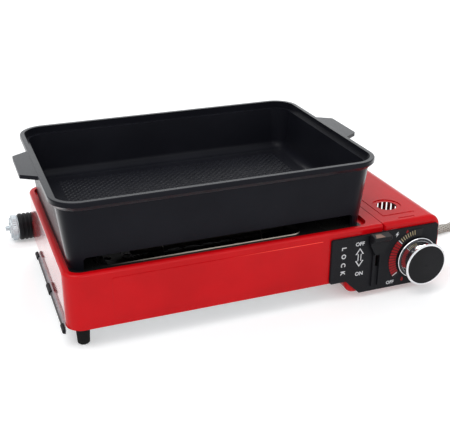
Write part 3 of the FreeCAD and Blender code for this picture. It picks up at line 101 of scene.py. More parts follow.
def grid_faces(rows, columns, closed=False):
    """The faces of a grid of points, row by row. Where it is closed, the last column joins the first."""
    row = np.arange(rows - 1)[:, None] * columns
    here = np.arange(columns if closed else columns - 1)[None, :]
    there = (here + 1) % columns
    return np.stack([row + here, row + there, row + columns + there, row + columns + here], -1)


def spline_points(name, steps, start):
    """Points along the smooth curve that a route's steps, in millimetres from a start, control."""
    curve = bpy.data.curves.new(name, "CURVE")
    curve.dimensions = "3D"
    curve.resolution_u = 24
    spline = curve.splines.new("NURBS")
    spline.points.add(len(steps) - 1)
    places = np.array(steps, float) / 1000 + np.array(start)
    spline.points.foreach_set("co", np.hstack([places, np.ones((len(steps), 1))]).ravel())
    spline.order_u = 3
    spline.use_endpoint_u = True
    holder = bpy.data.objects.new(name, curve)
    bpy.context.scene.collection.objects.link(holder)
    bpy.context.view_layer.update()
    line = bpy.data.meshes.new_from_object(holder)
    points = np.empty(len(line.vertices) * 3)
    line.vertices.foreach_get("co", points)
    bpy.data.objects.remove(holder)
    return points.reshape(-1, 3)


def evenly(points, spacing):
    """The same line with a point at every so much of its length."""
    run = np.concatenate([[0], np.cumsum(np.linalg.norm(np.diff(points, axis=0), axis=1))])
    at = np.linspace(0, run[-1], int(run[-1] / spacing) + 1)
    return np.stack([np.interp(at, run, points[:, axis]) for axis in range(3)], -1), at


def hose_surface(points, run, thick, around):
    """Each ring is a circle across the line. Its radius is the hose's, less a dip wherever neither of
    two sets of strands, which wind round it in opposite directions, is on top."""
    along = np.gradient(points, axis=0)
    along /= np.linalg.norm(along, axis=1)[:, None]
    side = np.cross(along, (0, 0, 1))
    side /= np.linalg.norm(side, axis=1)[:, None]
    up = np.cross(side, along)
    turn = np.linspace(0, 2 * np.pi, around, endpoint=False)
    wind, wave = 2 * np.pi * run[:, None] / STRAND_STEP, STRANDS_ROUND * turn[None, :]
    over = np.maximum(np.abs(np.sin((wave + wind) / 2)), np.abs(np.sin((wave - wind) / 2)))
    radius = thick / 2 - STRAND_PROUD * 2 * (1 - over ** 0.5)
    ring = np.cos(turn)[None, :, None] * side[:, None] + np.sin(turn)[None, :, None] * up[:, None]
    shape = points[:, None] + ring * radius[:, :, None]
    uv = np.stack(np.broadcast_arrays(turn[None, :] / (2 * np.pi), run[:, None]), -1)
    return shape, uv


hose_line, hose_run = evenly(spline_points("hose_route", HOSE_STEPS, HOSE_START), RING_EVERY)
hose_shape, hose_uv = hose_surface(hose_line, hose_run, HOSE_THICK, RING_POINTS)
hose_faces = grid_faces(len(hose_line), RING_POINTS, closed=True)[..., ::-1]
hose = add_piece("braided_hose", hose_shape, hose_faces, hose_uv)


def node(tree, kind, **given):
    """Adds a shader node. A word that starts with a capital is an input, which takes a number or a
    link from another node's output, and any other word is a setting of the node."""
    made = tree.nodes.new("ShaderNode" + kind)
    for word, value in given.items():
        if word[0].islower():
            setattr(made, word, value)
    for word, value in given.items():
        if word[0].isupper():
            socket = made.inputs[word.replace("_", " ")]
            if isinstance(value, bpy.types.NodeSocket):
                tree.links.new(value, socket)
            else:
                socket.default_value = value
    return made


def sum_up(tree, operation, *values):
    """A Math node on one, two or three values, each a number or a link."""
    made = tree.nodes.new("ShaderNodeMath")
    made.operation = operation
    for socket, value in zip(made.inputs, values):
        if isinstance(value, bpy.types.NodeSocket):
            tree.links.new(value, socket)
        else:
            socket.default_value = value
    return made.outputs[0]


def between(tree, mask, low, high):
    """A value that runs from low to high as the mask runs from 0 to 1."""
    return node(tree, "MapRange", Value=mask, To_Min=low, To_Max=high).outputs[0]


def sharpen(tree, mask, start, end):
    """A mask that is 0 below start, 1 above end and smooth between them."""
    made = node(tree, "MapRange", interpolation_type="SMOOTHSTEP", Value=mask, From_Min=start, From_Max=end)
    return made.outputs[0]


def tone(tree, mask, first, last):
    """A colour that runs from the first to the last as the mask runs from 0 to 1. Either may be a link."""
    made = tree.nodes.new("ShaderNodeMix")
    made.data_type = "RGBA"
    for socket, value in ((made.inputs[0], mask), (made.inputs[6], first), (made.inputs[7], last)):
        if isinstance(value, bpy.types.NodeSocket):
            tree.links.new(value, socket)
        elif isinstance(value, tuple):
            socket.default_value = (*value, 1)
        else:
            socket.default_value = value
    return made.outputs[2]


def relief(tree, height, depth):
    """A normal bent by a height map whose full rise is depth, in metres."""
    return node(tree, "Bump", Height=height, Distance=depth, Strength=1.0).outputs[0]


def finish(name, **sockets):
    """A new material with its node tree and its Principled shader, whose sockets are set by name."""
    material = bpy.data.materials.new(name)
    material.use_nodes = True
    tree = material.node_tree
    shader = tree.nodes["Principled BSDF"]
    for word, value in sockets.items():
        socket = shader.inputs[word.replace("_", " ")]
        socket.default_value = (*value, 1) if isinstance(value, tuple) else value
    return material, tree, shader


def drive(tree, shader, **links):
    """Links values that change over the surface to the shader's sockets."""
    for word, value in links.items():
        tree.links.new(value, shader.inputs[word.replace("_", " ")])


def wear(material, *names):
    """Gives pieces a material: CAD nodes by name, in the slots that they have, and new pieces as objects."""
    for name in names:
        piece = parts[name] if isinstance(name, str) else name
        if not piece.data.materials:
            piece.data.materials.append(material)
        for number in range(len(piece.material_slots)):
            piece.material_slots[number].material = material


def new_group(name, inputs, outputs):
    """An empty node group with number inputs, given as name and start value, and named outputs."""
    group = bpy.data.node_groups.new(name, "ShaderNodeTree")
    for word, value in inputs.items():
        socket = group.interface.new_socket(word, in_out="INPUT", socket_type="NodeSocketFloat")
        socket.default_value = value
    for word in outputs:
        group.interface.new_socket(word, in_out="OUTPUT", socket_type="NodeSocketFloat")
    return group, group.nodes.new("NodeGroupInput").outputs, group.nodes.new("NodeGroupOutput").inputs


def use(tree, group, **values):
    """Places a node group in a material, with its inputs as numbers, and returns its outputs."""
    made = tree.nodes.new("ShaderNodeGroup")
    made.node_tree = group
    for word, value in values.items():
        made.inputs[word.replace("_", " ")].default_value = value
    return made.outputs


# Slow clouds and fine grain, which every finish of the stove uses for small changes of tone and gloss.
unevenness, given, made = new_group("unevenness", {"Broad size": 9.0, "Fine size": 900.0}, ["Broad", "Fine"])
place = node(unevenness, "TexCoord").outputs["Object"]
for word, size, detail in (("Broad", "Broad size", 3.0), ("Fine", "Fine size", 2.0)):
    cloud = node(unevenness, "TexNoise", Vector=place, Scale=given[size], Detail=detail, Roughness=0.55)
    unevenness.links.new(sharpen(unevenness, cloud.outputs[0], 0.3, 0.7), made[word])

braid_finish, tree, shader = finish("hose_braid", Roughness=0.62, Specular_IOR_Level=0.35)
surface = node(tree, "UVMap", uv_map="surface").outputs[0]
across = node(tree, "SeparateXYZ", Vector=surface).outputs
wind = sum_up(tree, "MULTIPLY", across[1], 2 * math.pi / STRAND_STEP)
wave = sum_up(tree, "MULTIPLY", across[0], 2 * math.pi * STRANDS_ROUND)
yarns = []
for sign in ("ADD", "SUBTRACT"):
    half_turn = sum_up(tree, "MULTIPLY", sum_up(tree, sign, wave, wind), 0.5)
    yarns.append(sum_up(tree, "ABSOLUTE", sum_up(tree, "SINE", half_turn)))
over = sum_up(tree, "MAXIMUM", *yarns)
cloud = use(tree, unevenness, Broad_size=60.0, Fine_size=2500.0)
yarn = tone(tree, cloud["Broad"], (0.50, 0.485, 0.44), (0.40, 0.385, 0.34))
gap_colour = (0.14, 0.13, 0.115)
drive(tree, shader,
      Base_Color=tone(tree, sharpen(tree, over, 0.45, 0.95), gap_colour, yarn),
      Roughness=between(tree, cloud["Fine"], 0.5, 0.8),
      Normal=relief(tree, sum_up(tree, "ADD", over, sum_up(tree, "MULTIPLY", cloud["Fine"], 0.3)), 0.0002))
wear(braid_finish, hose)


# The hose's fittings: zinc-plated steel, with the ferrules crimped onto its ends. The connector's ring is
# turned and then knurled, so that fingers can screw it up. The tip of the connector has the same plating.
KNURLS, KNURL_DEEP = 40, 0.0007
RING_BORE = 0.00495

# A row of the ring's profile is the distance from its end, how far it lies inside the ring's radius, and 1
# where it is knurled.
RING_SHOULDER = [(0.0, 0.0042, 0), (0.0008, 0.0034, 0), (0.0022, 0.0034, 0), (0.0028, 0.0006, 1),
                 (0.0034, 0.0, 1)]
RING_FACE = [(0.0018, 0.0, 1), (0.0012, 0.0006, 1), (0.001, 0.0022, 0), (0.0, 0.0022, 0)]


def turned_on_x(name, profile, middle, around, ripple):
    """A ring turned about a line along X. The profile is a closed loop of (x, radius, share), and the
    radius dips by the ripple, a function of the angle, times the share."""
    rows = np.array(profile + profile[:1], float)
    turn = np.linspace(0, 2 * np.pi, around, endpoint=False)
    radius = rows[:, 1:2] - ripple(turn)[None, :] * rows[:, 2:3]
    x = np.broadcast_to(rows[:, 0:1], radius.shape)
    shape = np.stack([x, middle[0] + radius * np.cos(turn), middle[1] + radius * np.sin(turn)], -1)
    quads = grid_faces(len(profile) + 1, around, closed=True)
    count = len(profile) * around
    return add_piece(name, shape[:-1], quads % count, smooth=False)


ring_low, ring_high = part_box("connector_ring")
ring_radius = (ring_high[2] - ring_low[2]) / 2
ring_middle = ((ring_low[1] + ring_high[1]) / 2, (ring_low[2] + ring_high[2]) / 2)
ring_profile = [(ring_low[0], RING_BORE, 0)]
ring_profile += [(ring_low[0] + along, ring_radius - inside, share) for along, inside, share in RING_SHOULDER]
ring_profile += [(ring_high[0] - along, ring_radius - inside, share) for along, inside, share in RING_FACE]
ring_profile += [(ring_high[0], RING_BORE, 0)]
knurled_ring = turned_on_x("knurled_ring", ring_profile, ring_middle, KNURLS * 4,
                           lambda turn: KNURL_DEEP * (0.5 - 0.5 * np.cos(KNURLS * turn)))

zinc_finish, tree, shader = finish("plated_fittings", Metallic=1.0, Roughness=0.34)
cloud = use(tree, unevenness, Broad_size=40.0, Fine_size=1200.0)
drive(tree, shader,
      Base_Color=tone(tree, cloud["Broad"], (0.40, 0.45, 0.48), (0.54, 0.57, 0.59)),
      Roughness=between(tree, cloud["Broad"], 0.26, 0.46),
      Normal=relief(tree, cloud["Fine"], 0.00002))
wear(zinc_finish, "inlet_ferrule", "far_ferrule", "connector_tip", knurled_ring)

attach(knurled_ring, "stove")
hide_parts("connector_ring")
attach(hose, "stove")
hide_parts("gas_hose")


# The studio: a plain white table top that runs on behind the stove, one big soft lamp overhead to the
# left, one behind and one in front, and a nearly white surround. The camera, mirrors and clear glass see
# the table and the surround brighter than they light the stove.
FLOOR_SIZE, FLOOR_POINTS, FLOOR_BELOW = 14.0, 9, 0.0002
TABLE_WHITE = (0.86, 0.86, 0.86)
GLOW_FROM, GLOW_TO = 0.7, 2.6
GLOW_NEAR, GLOW_FAR = 0.32, 0.6
SURROUND = (0.96, 0.98, 1.0)
LAMPS = [
    ("key_lamp", (-0.9, -0.5, 1.9), 1.4, 20.0),
    ("back_lamp", (0.6, 1.2, 1.7), 1.2, 12.0),
    ("front_lamp", (0.5, -2.2, 0.9), 1.6, 10.0),
]
LAMP_AIM = (0.0, 0.0, 0.08)
AMBIENT = 0.55


def seen_directly(tree):
    """1 for rays from the camera, mirrors and clear glass, and 0 for the rays that light things."""
    path = node(tree, "LightPath").outputs
    either = sum_up(tree, "MAXIMUM", path["Is Camera Ray"], path["Is Glossy Ray"])
    return sum_up(tree, "MAXIMUM", either, path["Is Transmission Ray"])


half = FLOOR_SIZE / 2
steps = np.linspace(-half, half, FLOOR_POINTS)
floor_x, floor_y = np.meshgrid(steps, steps)
floor_points = np.stack([floor_x, floor_y, np.full_like(floor_x, -FLOOR_BELOW)], -1)
floor = add_piece("table_top", floor_points, grid_faces(FLOOR_POINTS, FLOOR_POINTS))
floor_finish, tree, shader = finish("white_table", Base_Color=TABLE_WHITE, Roughness=0.9,
                                    Specular_IOR_Level=0.1)
shader.inputs["Emission Color"].default_value = (1, 1, 1, 1)
place = node(tree, "TexCoord").outputs["Object"]
distance = node(tree, "VectorMath", operation="LENGTH", Vector=place).outputs["Value"]
far = sharpen(tree, distance, GLOW_FROM, GLOW_TO)
glow = sum_up(tree, "MULTIPLY", seen_directly(tree), between(tree, far, GLOW_NEAR, GLOW_FAR))
tree.links.new(glow, shader.inputs["Emission Strength"])
wear(floor_finish, floor)

for name, place, size, power in LAMPS:
    lamp = bpy.data.lights.new(name, "AREA")
    lamp.shape = "SQUARE"
    lamp.size = size
    lamp.energy = power
    holder = bpy.data.objects.new(name, lamp)
    holder.location = place
    towards = np.array(LAMP_AIM) - np.array(place)
    flat = math.hypot(towards[0], towards[1])
    holder.rotation_euler = (math.atan2(flat, -towards[2]), 0, math.atan2(-towards[0], towards[1]))
    bpy.context.scene.collection.objects.link(holder)

world = bpy.data.worlds.new("white_surround")
world.use_nodes = True
tree = world.node_tree
sky = tree.nodes["Background"]
sky.inputs["Color"].default_value = (*SURROUND, 1)
tree.links.new(between(tree, seen_directly(tree), AMBIENT, 1.0), sky.inputs["Strength"])
bpy.context.scene.world = world


# The red pressings: deep-drawn sheet steel, sprayed and stoved in glossy red enamel. The body, the
# cartridge trough and the lid share it. Its surface has the faint orange peel of sprayed enamel.
RED_LIGHT, RED_DEEP = (0.60, 0.0020, 0.0055), (0.53, 0.0016, 0.0045)
COAT_FACING = (0.6, 0.92)

# A pale line along the top edge of the pressed front field. It is only colour, and stands in for the
# highlight that the photograph shows there.
EDGE_RED = (1.0, 0.085, 0.065)
FIELD_TOP, FIELD_FRONT, FRONT_SOFT = 0.091, -0.1334, 0.0002
EDGE_BELOW, EDGE_ABOVE = (0.0010, 0.0006), (0.0006, 0.0003)
EDGE_FADES_IN = (-0.06, 0.05)

red_finish, tree, shader = finish("red_enamel", Roughness=0.2, Specular_IOR_Level=0.16, Coat_Roughness=0.06)
cloud = use(tree, unevenness, Broad_size=14.0, Fine_size=420.0)
place = node(tree, "SeparateXYZ", Vector=node(tree, "TexCoord").outputs["Object"]).outputs
edge = sum_up(tree, "MULTIPLY",
              sharpen(tree, place[2], *(FIELD_TOP - off for off in EDGE_BELOW)),
              sharpen(tree, place[2], *(FIELD_TOP + off for off in EDGE_ABOVE)))
edge = sum_up(tree, "MULTIPLY", edge, sharpen(tree, place[1], FIELD_FRONT, FIELD_FRONT - FRONT_SOFT))
edge = sum_up(tree, "MULTIPLY", edge, sharpen(tree, place[0], *EDGE_FADES_IN))
drive(tree, shader,
      Base_Color=tone(tree, edge, tone(tree, cloud["Broad"], RED_LIGHT, RED_DEEP), EDGE_RED),
      Roughness=between(tree, cloud["Broad"], 0.13, 0.22),
      Coat_Weight=sharpen(tree, node(tree, "LayerWeight", Blend=0.5).outputs["Facing"], *COAT_FACING),
      Normal=relief(tree, cloud["Fine"], 0.00003))
wear(red_finish, "outer_shell", "bay_shell", "bay_lid")


# The liner of the sunk seat: thin pressed sheet in gloss black enamel, turned up round its opening. Its black
# also serves as painted shade under the pan. The tray round the burners hangs below it. It is galvanised in
# the part and wears the same black here as painted shade, as the photograph shows black under the pan.

# Two changes of colour that are made only to match the photograph: the turned-up edge is pale along its
# middle, and the liner's two ends look as red as the body.
LIP_PALE = (0.95, 0.84, 0.72)
LIP_PALE_FROM, LIP_SOFT = 0.0962, 0.0002
LIP_PALE_ALONG = [(-0.195, -0.06), (0.0625, 0.052)]
RED_RIGHT_OF, RED_LEFT_OF, END_SOFT = 0.1452, -0.2328, 0.0003

liner_and_shade_finish, tree, shader = finish("black_enamel", Roughness=0.22, Specular_IOR_Level=0.16)
cloud = use(tree, unevenness, Broad_size=16.0, Fine_size=500.0)
place = node(tree, "SeparateXYZ", Vector=node(tree, "TexCoord").outputs["Object"]).outputs
pale = sharpen(tree, place[2], LIP_PALE_FROM, LIP_PALE_FROM + LIP_SOFT)
for start, end in LIP_PALE_ALONG:
    pale = sum_up(tree, "MULTIPLY", pale, sharpen(tree, place[0], start, end))
red_end = sum_up(tree, "MAXIMUM", sharpen(tree, place[0], RED_RIGHT_OF, RED_RIGHT_OF + END_SOFT),
                 sharpen(tree, place[0], RED_LEFT_OF, RED_LEFT_OF - END_SOFT))
# This black is gloss enamel on the liner and painted shade on the burner tray, both under the pan.
black = tone(tree, cloud["Broad"], (0.009, 0.009, 0.010), (0.014, 0.013, 0.012))
drive(tree, shader,
      Base_Color=tone(tree, pale, tone(tree, red_end, black, RED_LIGHT), LIP_PALE),
      Roughness=between(tree, cloud["Broad"], 0.16, 0.32),
      Normal=relief(tree, cloud["Fine"], 0.00003))
wear(liner_and_shade_finish, "seat_liner", "burner_tray")


# The galvanised sheets: the underside, the heat shield, the cartridge's cradle and stop, and the rails
# of the drip tray. They are cut and folded from sheet, and its zinc crystals show as faint facets.
ZINC_DARK, ZINC_PALE = (0.46, 0.48, 0.50), (0.62, 0.64, 0.65)
CRYSTAL_SHIFT = 0.006

spangle, given, made = new_group("zinc_spangle", {"Size": 160.0}, ["Crystal", "Line"])
place = node(spangle, "TexCoord").outputs["Object"]
bent = node(spangle, "TexNoise", Vector=place, Scale=90.0, Detail=2.0)
drawn = node(spangle, "VectorMath", operation="MULTIPLY_ADD")
spangle.links.new(bent.outputs["Color"], drawn.inputs[0])
drawn.inputs[1].default_value = [CRYSTAL_SHIFT] * 3
spangle.links.new(place, drawn.inputs[2])
cells = node(spangle, "TexVoronoi", Vector=drawn.outputs[0], Scale=given["Size"])
spangle.links.new(node(spangle, "SeparateColor", Color=cells.outputs["Color"]).outputs[0], made["Crystal"])
spangle.links.new(sharpen(spangle, cells.outputs["Distance"], 0.0, 0.8), made["Line"])

sheet_finish, tree, shader = finish("galvanised_sheet", Metallic=0.9, Roughness=0.4)
grain = use(tree, spangle, Size=170.0)
cloud = use(tree, unevenness, Broad_size=18.0, Fine_size=800.0)
drive(tree, shader,
      Base_Color=tone(tree, grain["Crystal"], ZINC_DARK, ZINC_PALE),
      Roughness=between(tree, grain["Crystal"], 0.32, 0.5),
      Normal=relief(tree, sum_up(tree, "ADD", grain["Line"], cloud["Fine"]), 0.00002))
wear(sheet_finish, "base_plate", "heat_shield", "cartridge_stop", "cartridge_cradle", "tray_rails")


# The drip tray: a pan folded from galvanised sheet, whose side flanges run in the rails, so that it
# slides out to the left. The rolled bead at its outer end is dipped in black.
DIPPED_LEFT_OF, DIP_SOFT = -0.2462, 0.0004
DIP_BLACK = (0.030, 0.030, 0.032)

tray_finish, tree, shader = finish("dipped_tray", Roughness=0.4)
grain = use(tree, spangle, Size=170.0)
cloud = use(tree, unevenness, Broad_size=18.0, Fine_size=800.0)
across = node(tree, "SeparateXYZ", Vector=node(tree, "TexCoord").outputs["Object"]).outputs[0]
zinc = sharpen(tree, across, DIPPED_LEFT_OF, DIPPED_LEFT_OF + DIP_SOFT)
drive(tree, shader,
      Base_Color=tone(tree, zinc, DIP_BLACK, tone(tree, grain["Crystal"], ZINC_DARK, ZINC_PALE)),
      Metallic=sum_up(tree, "MULTIPLY", zinc, 0.9),
      Roughness=between(tree, grain["Crystal"], 0.34, 0.5),
      Normal=relief(tree, sum_up(tree, "ADD", grain["Line"], cloud["Fine"]), 0.00002))
wear(tray_finish, "drip_tray")


# The burners, their brackets and cross box, and the mixing tube: thin stainless tube and sheet, browned
# by the heat in places. Their steel is also painted far darker than bare stainless, as painted shade under
# the pan. Fine lines run along X, the way that the tubes are drawn.
steel_finish, tree, shader = finish("stainless_tube", Metallic=1.0, Roughness=0.3)
place = node(tree, "TexCoord").outputs["Object"]
drawn_lines = node(tree, "Mapping", Vector=place, Scale=(20.0, 900.0, 900.0)).outputs[0]
lines = node(tree, "TexNoise", Vector=drawn_lines, Scale=1.0, Detail=3.0).outputs[0]
cloud = use(tree, unevenness, Broad_size=24.0, Fine_size=900.0)
drive(tree, shader,
      # Both tones are painted shade, far darker than bare stainless; the second is also brown with heat tint.
      Base_Color=tone(tree, cloud["Broad"], (0.20, 0.19, 0.18), (0.15, 0.125, 0.10)),
      Roughness=between(tree, lines, 0.28, 0.46),
      Normal=relief(tree, lines, 0.00002))
wear(steel_finish, "cross_box", "mixing_tube", "front_burner", "back_burner", "burner_brackets")


# The plain steel pieces: the lid's hinge plates and pins, the lever's slide, the cartridge clamp and the
# knob's spindle. They are cut and folded from bright sheet or turned from bar, and left bare.
plain_finish, tree, shader = finish("bright_steel", Metallic=1.0, Roughness=0.35)
cloud = use(tree, unevenness, Broad_size=30.0, Fine_size=1500.0)
drive(tree, shader,
      Base_Color=tone(tree, cloud["Broad"], (0.50, 0.50, 0.51), (0.60, 0.60, 0.60)),
      Roughness=between(tree, cloud["Fine"], 0.26, 0.44),
      Normal=relief(tree, cloud["Fine"], 0.000015))
wear(plain_finish, "hinge_brackets", "hinge_pins", "lever_slide", "cartridge_clamp", "knob_spindle")


# The valve behind the panel and the regulator that the cartridge is pressed onto: zinc alloy, die-cast
# and left grey, with a slightly sandy skin.
cast_finish, tree, shader = finish("die_cast_zinc", Metallic=0.8, Roughness=0.5)
cloud = use(tree, unevenness, Broad_size=35.0, Fine_size=1100.0)
drive(tree, shader,
      Base_Color=tone(tree, cloud["Broad"], (0.42, 0.43, 0.44), (0.52, 0.53, 0.54)),
      Roughness=between(tree, cloud["Fine"], 0.4, 0.62),
      Normal=relief(tree, cloud["Fine"], 0.00005))
wear(cast_finish, "valve_body", "regulator")


# The brass pieces: the jet in front of the mixing tube's mouth, and the inlet that is screwed through the
# bay's outer wall. Both are turned from bar.
brass_finish, tree, shader = finish("turned_brass", Metallic=1.0, Roughness=0.28)
cloud = use(tree, unevenness, Broad_size=45.0, Fine_size=1500.0)
drive(tree, shader,
      Base_Color=tone(tree, cloud["Broad"], (0.74, 0.52, 0.22), (0.62, 0.42, 0.17)),
      Roughness=between(tree, cloud["Fine"], 0.2, 0.4),
      Normal=relief(tree, cloud["Fine"], 0.00001))
wear(brass_finish, "gas_jet", "gas_inlet")


# The gas pipes, from the valve to the jet and from the inlet to the valve: soft copper tube, bent clear
# of the cartridge and a little dull.
copper_finish, tree, shader = finish("copper_tube", Metallic=1.0, Roughness=0.3)
cloud = use(tree, unevenness, Broad_size=30.0, Fine_size=1500.0)
drive(tree, shader,
      Base_Color=tone(tree, cloud["Broad"], (0.80, 0.44, 0.28), (0.60, 0.30, 0.18)),
      Roughness=between(tree, cloud["Broad"], 0.22, 0.45),
      Normal=relief(tree, cloud["Fine"], 0.00001))
wear(copper_finish, "gas_pipe", "inlet_pipe")


# The control panel: a black cover, sprayed with a fine speckled texture coat. ON, OFF, LOCK, the arrow of
# the lever's stroke and a spark are printed on it in white, and two small flames in red. Its marks are
# placed from the middle of the stove's body, which lies at PANEL_X, and the loops are in millimetres.
PANEL_X = 0.0065
KNOB_X, KNOB_Z = 0.2195, 0.047
PANEL_FACE = -0.13725
INK_THICK = 0.00006
FONT_SIZE, FONT_CAPITAL = 0.01, 0.007
BOLT = [(0.8, 3.6), (-2.6, -0.5), (-0.3, -0.5), (-1.1, -3.6), (2.6, 0.8), (0.4, 0.8), (2.1, 3.6)]
FLAME = [(0, 3.4), (-1.5, 0.6), (-1.9, -1.4), (-1.0, -3.0), (1.0, -3.0), (1.9, -1.4), (1.5, 0.6)]

panel_finish, tree, shader = finish("textured_black", Roughness=0.5, Specular_IOR_Level=0.12)
place = node(tree, "TexCoord").outputs["Object"]
speck = node(tree, "TexVoronoi", Vector=place, Scale=900.0).outputs["Distance"]
cloud = use(tree, unevenness, Broad_size=20.0, Fine_size=1400.0)
drive(tree, shader,
      Base_Color=tone(tree, sharpen(tree, speck, 0.1, 0.5), (0.016, 0.016, 0.019), (0.008, 0.008, 0.010)),
      Roughness=between(tree, cloud["Fine"], 0.42, 0.62),
      Normal=relief(tree, speck, 0.00006))
wear(panel_finish, "control_panel")


def flat_mesh(curve):
    """The points and faces of a filled flat curve or a text, which is then removed."""
    holder = bpy.data.objects.new("flat_curve", curve)
    bpy.context.scene.collection.objects.link(holder)
    bpy.context.view_layer.update()
    mesh = bpy.data.meshes.new_from_object(holder)
    points = np.empty(len(mesh.vertices) * 3)
    mesh.vertices.foreach_get("co", points)
    faces = [tuple(face.vertices) for face in mesh.polygons]
    bpy.data.objects.remove(holder)
    return points.reshape(-1, 3), faces


def lettering(words, height, stroke, spacing=1.0):
    """Block letters as a flat solid, centred, with capitals of the given height. Each outline is moved
    out by the stroke, which is worked back to the font's size before the letters are scaled."""
    text = bpy.data.curves.new(words, "FONT")
    text.body = words
    text.size = FONT_SIZE
    text.offset = stroke * FONT_CAPITAL / height
    text.space_character = spacing
    text.extrude = INK_THICK
    text.resolution_u = 3
    points, faces = flat_mesh(text)
    points[:, :2] -= (points[:, :2].max(0) + points[:, :2].min(0)) / 2
    points[:, :2] *= height / np.ptp(points[:, 1])
    return points, faces


def outlined(loops):
    """A flat solid bounded by closed loops of (x, z) in millimetres. A loop inside another is a hole."""
    flat = bpy.data.curves.new("outline", "CURVE")
    flat.dimensions = "2D"
    flat.fill_mode = "BOTH"
    flat.extrude = INK_THICK
    for loop in loops:
        spline = flat.splines.new("POLY")
        spline.points.add(len(loop) - 1)
        places = np.hstack([np.array(loop) / 1000, np.zeros((len(loop), 1)), np.ones((len(loop), 1))])
        spline.points.foreach_set("co", places.ravel())
        spline.use_cyclic_u = True
    return flat_mesh(flat)


def double_arrow(half, tall, waist, head):
    """The outline of an upright arrow with a head at each end, turned the same way round all along."""
    right = [(waist, tall / 2 - head), (half, tall / 2 - head), (0, tall / 2),
             (-half, tall / 2 - head), (-waist, tall / 2 - head)]
    return right + [(-x, -z) for x, z in right]


def on_panel(shape, x, z, turn=0.0):
    """Stands a flat solid upright on the panel's face, centred on a place and turned in its own plane."""
    points, faces = shape
    c, s = math.cos(math.radians(turn)), math.sin(math.radians(turn))
    flat = points[:, :2] @ np.array([[c, s], [-s, c]])
    return np.stack([flat[:, 0] + x, PANEL_FACE - points[:, 2], flat[:, 1] + z], -1), faces


def join(name, shapes):
    """One mesh object from several sets of points and faces."""
    mesh = bpy.data.meshes.new(name)
    starts = np.cumsum([0] + [len(points) for points, own in shapes])
    faces = [tuple(int(start + corner) for corner in face)
             for start, (points, own) in zip(starts, shapes) for face in own]
    mesh.from_pydata(np.vstack([points for points, own in shapes]), [], faces)
    mesh.shade_flat()
    piece = bpy.data.objects.new(name, mesh)
    bpy.context.scene.collection.objects.link(piece)
    return piece


arrow = outlined([double_arrow(half=6.2, tall=27, waist=2.6, head=9),
                  double_arrow(half=4.0, tall=22.6, waist=1.5, head=6.4)])
lever_off = lettering("OFF", height=0.0056, stroke=0.00022)
lever_on = lettering("ON", height=0.0056, stroke=0.00022)
lock = lettering("LOCK", height=0.0066, stroke=0.00030, spacing=2.3)
knob_off = lettering("OFF", height=0.0050, stroke=0.00018)
panel_print = join("panel_print", [
    on_panel(lever_off, x=PANEL_X + 0.1272, z=0.0805),
    on_panel(arrow, x=PANEL_X + 0.1275, z=0.0610),
    on_panel(lever_on, x=PANEL_X + 0.1283, z=0.0374),
    on_panel(lock, x=PANEL_X + 0.1044, z=0.0590, turn=-90),
    on_panel(outlined([BOLT]), x=PANEL_X + 0.1812, z=0.0845),
    on_panel(knob_off, x=PANEL_X + 0.1766, z=0.0153),
])
ink_finish, tree, shader = finish("white_ink", Roughness=0.5, Specular_IOR_Level=0.2)
cloud = use(tree, unevenness, Broad_size=120.0, Fine_size=2500.0)
drive(tree, shader,
      Base_Color=tone(tree, cloud["Fine"], (0.72, 0.72, 0.73), (0.58, 0.58, 0.60)),
      Roughness=between(tree, cloud["Fine"], 0.42, 0.6))
wear(ink_finish, panel_print)

flame = outlined([FLAME])
heat_marks = join("heat_marks", [
    on_panel(flame, x=PANEL_X + 0.1948, z=0.0171),
    on_panel(flame, x=PANEL_X + 0.1965, z=0.0862),
])
red_ink, tree, shader = finish("red_ink", Roughness=0.5, Specular_IOR_Level=0.2)
cloud = use(tree, unevenness, Broad_size=120.0, Fine_size=2500.0)
drive(tree, shader,
      Base_Color=tone(tree, cloud["Fine"], (0.30, 0.012, 0.014), (0.22, 0.008, 0.010)),
      Roughness=between(tree, cloud["Fine"], 0.42, 0.6))
wear(red_ink, heat_marks)
for piece in (panel_print, heat_marks):
    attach(piece, "stove")


# The lining of the lever's slot: a thin black moulded sleeve that covers the cut edges of the panel and
# of the wall behind it, and lets the lever's stem pass.
SLOT_X = (PANEL_X + 0.15002, PANEL_X + 0.15598)
SLOT_Z = (0.04352, 0.08648)
SLOT_Y = (PANEL_FACE + 0.0002, -0.1321)
LINING_SIDE, LINING_END = 0.00030, 0.00015


def sleeve(x, y, z, side, end):
    """A tube of rectangular section along Y: four rings of four corners, outer front, inner front,
    inner back and outer back, each joined to the next and the last to the first."""
    def ring(depth, inside):
        left, right = x[0] + side * inside, x[1] - side * inside
        low, high = z[0] + end * inside, z[1] - end * inside
        return [(left, depth, low), (right, depth, low), (right, depth, high), (left, depth, high)]
    points = np.array(ring(y[0], 0) + ring(y[0], 1) + ring(y[1], 1) + ring(y[1], 0))
    return points, grid_faces(5, 4, closed=True) % len(points)


lining_points, lining_faces = sleeve(SLOT_X, SLOT_Y, SLOT_Z, LINING_SIDE, LINING_END)
slot_lining = add_piece("slot_lining", lining_points, lining_faces, smooth=False)
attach(slot_lining, "stove")


# The black mouldings: the lever, the knob's disc, the igniter, the tray's end caps and grip, the connector's
# body and the lining of the slot. All are moulded in satin black plastic.
moulded_finish, tree, shader = finish("black_moulding", Roughness=0.4, Specular_IOR_Level=0.12)
cloud = use(tree, unevenness, Broad_size=22.0, Fine_size=1300.0)
drive(tree, shader,
      Base_Color=tone(tree, cloud["Broad"], (0.010, 0.010, 0.012), (0.006, 0.006, 0.007)),
      Roughness=between(tree, cloud["Fine"], 0.30, 0.46),
      Normal=relief(tree, cloud["Fine"], 0.00003))
wear(moulded_finish, "cartridge_lever", "knob_cap", "piezo_igniter", "tray_end_caps", "tray_grip",
     "connector_body", slot_lining)


